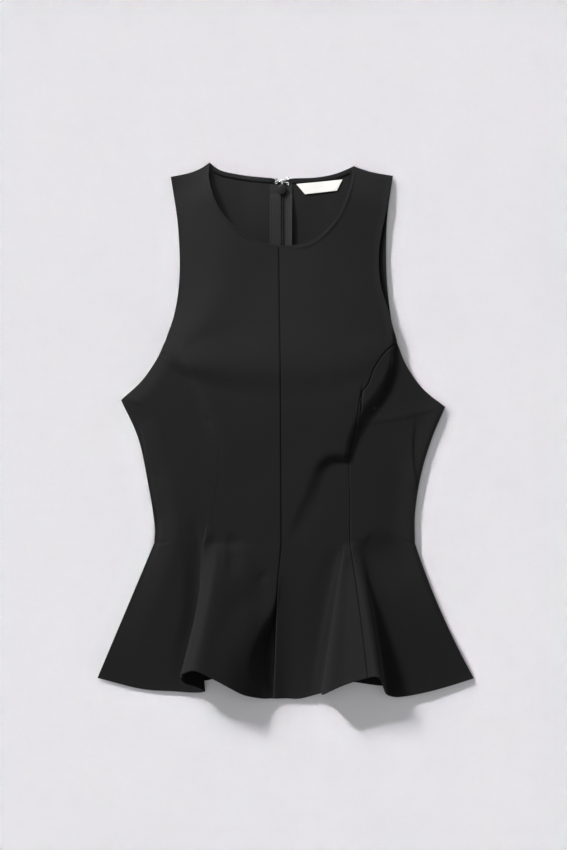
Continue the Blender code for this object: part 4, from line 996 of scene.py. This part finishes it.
def front_grid(side, folds, top, outer, inner):
    """One front panel from its upper edges to the hem, with its height at every point."""
    waist = through([row[1:2] for row in FOLDS[side]], folds)[:, 0]
    bottom = np.stack([waist, np.full(waist.shape, WAIST_Y)], axis=1)
    bodice = patch(top, bottom, outer, inner)
    waist_x, hem_x, hem_y, hem_z, bow = through([row[1:] for row in FOLDS[side]], folds).T
    w = even(64)[1:, None]
    lower = np.stack([waist_x + (hem_x - waist_x) * w + bow * 4 * w * (1 - w),
                      WAIST_Y + (hem_y - WAIST_Y) * w], axis=2)
    plan = np.vstack([bodice, lower])
    x, y = plan[..., 0], plan[..., 1]
    fold, fade = np.zeros(x.shape), np.ones(x.shape)
    fold[len(bodice):] = np.maximum(hem_z, 0) * w**FOLD_RISE
    fade[len(bodice):] = 1 - w
    z = FRONT_REST + edge_lift(x, y) + front_rise(x, y) * fade + fold
    z = z + sum(crease(x, y, rows) for rows in CREASES.values())
    floor = FRONT_REST + edge_lift(x, y)
    return np.dstack([x, y, floor + np.logaddexp(0, (z - floor) / 0.35) * 0.35])


def seam_groove(grid, column, first_row, turn):
    """Parts a panel from its neighbour by half a seam's gap and turns its edge down into the seam."""
    depth, reach, parting = SEAM_TURN[turn]
    step = -1 if column else 1
    strip = grid[first_row:, ::step][:, :20]
    far = np.pad(np.cumsum(np.linalg.norm(np.diff(strip, axis=1), axis=2), axis=1), ((0, 0), (1, 0)))
    edge = grid[first_row:, column]
    along = np.gradient(edge, axis=0)
    along /= np.linalg.norm(along, axis=1, keepdims=True)
    inward = grid[first_row:, column + step] - edge
    inward -= along * np.sum(inward * along, axis=1, keepdims=True)
    inward /= np.linalg.norm(inward, axis=1, keepdims=True)
    normal = np.cross(inward, along)
    normal *= np.where(normal[:, 2:] >= 0, 1.0, -1.0)
    strip -= normal[:, None] * (depth * np.exp(-((far / reach) ** 2)))[..., None]
    edge += inward * parting
    return grid


def turned_edges(grid, armhole_rows, neck_rows):
    """How much thicker than the wall the cloth is where its hem, armhole and neck are turned under."""
    along = np.pad(np.cumsum(np.linalg.norm(np.diff(grid, axis=0), axis=2), axis=0), ((1, 0), (0, 0)))
    thick = 1 + HEM_FOLD * smooth((4.0 - (along[-1] - along)) / 3.0)
    for column, rows in ((0, armhole_rows), (-1, neck_rows)):
        far = np.linalg.norm(grid[:rows] - grid[:rows, [column]], axis=2)
        thick[:rows] += EDGE_FOLD * smooth((4.0 - far) / 3.0)
    return thick


def front_panel(name, node_name, grid, fold):
    panel = cloth_sheet(name, grid, WALL, 0.0, crepe, 0.42, fold)
    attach(panel, "garment")
    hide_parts(node_name)
    return panel


HEM_FOLD = 0.7
EDGE_FOLD = 0.25
for side in SIDE_SEAM:
    princess = run(PRINCESS[side], even(84))
    armhole = run(FRONT_ARMHOLE[side], even(56))
    outer = chain(armhole, princess)
    neck = run(FRONT_NECK[side], even(50))
    inner = chain(neck, run(CENTRE_FRONT, even(len(outer) - len(neck))))
    folds = SEAM_FOLD[side] + spread(104) * (LAST_FOLD - SEAM_FOLD[side])
    grid = front_grid(side, folds, run(SHOULDER[side], spread(104)), outer, inner)
    left_of_centre = side == "left"
    seam_groove(grid, 0, len(armhole) - 1, "left princess" if left_of_centre else "towards the light")
    seam_groove(grid, -1, len(neck) - 1, "towards the light" if left_of_centre else "right of the centre")
    fold = turned_edges(grid, len(armhole), len(neck))
    front_panel(f"{side}_front_centre_panel", f"front_centre_{side}", grid, fold)
    folds = spread(90) * SEAM_FOLD[side]
    grid = front_grid(side, folds, run(UNDERARM[side], spread(90)), run(SIDE_SEAM[side], even(84)), princess)
    seam_groove(grid, -1, 0, "left side" if left_of_centre else "away from it")
    fold = turned_edges(grid, 0, 0)
    front_panel(f"{side}_front_side_panel", f"front_side_{side}", grid, fold)
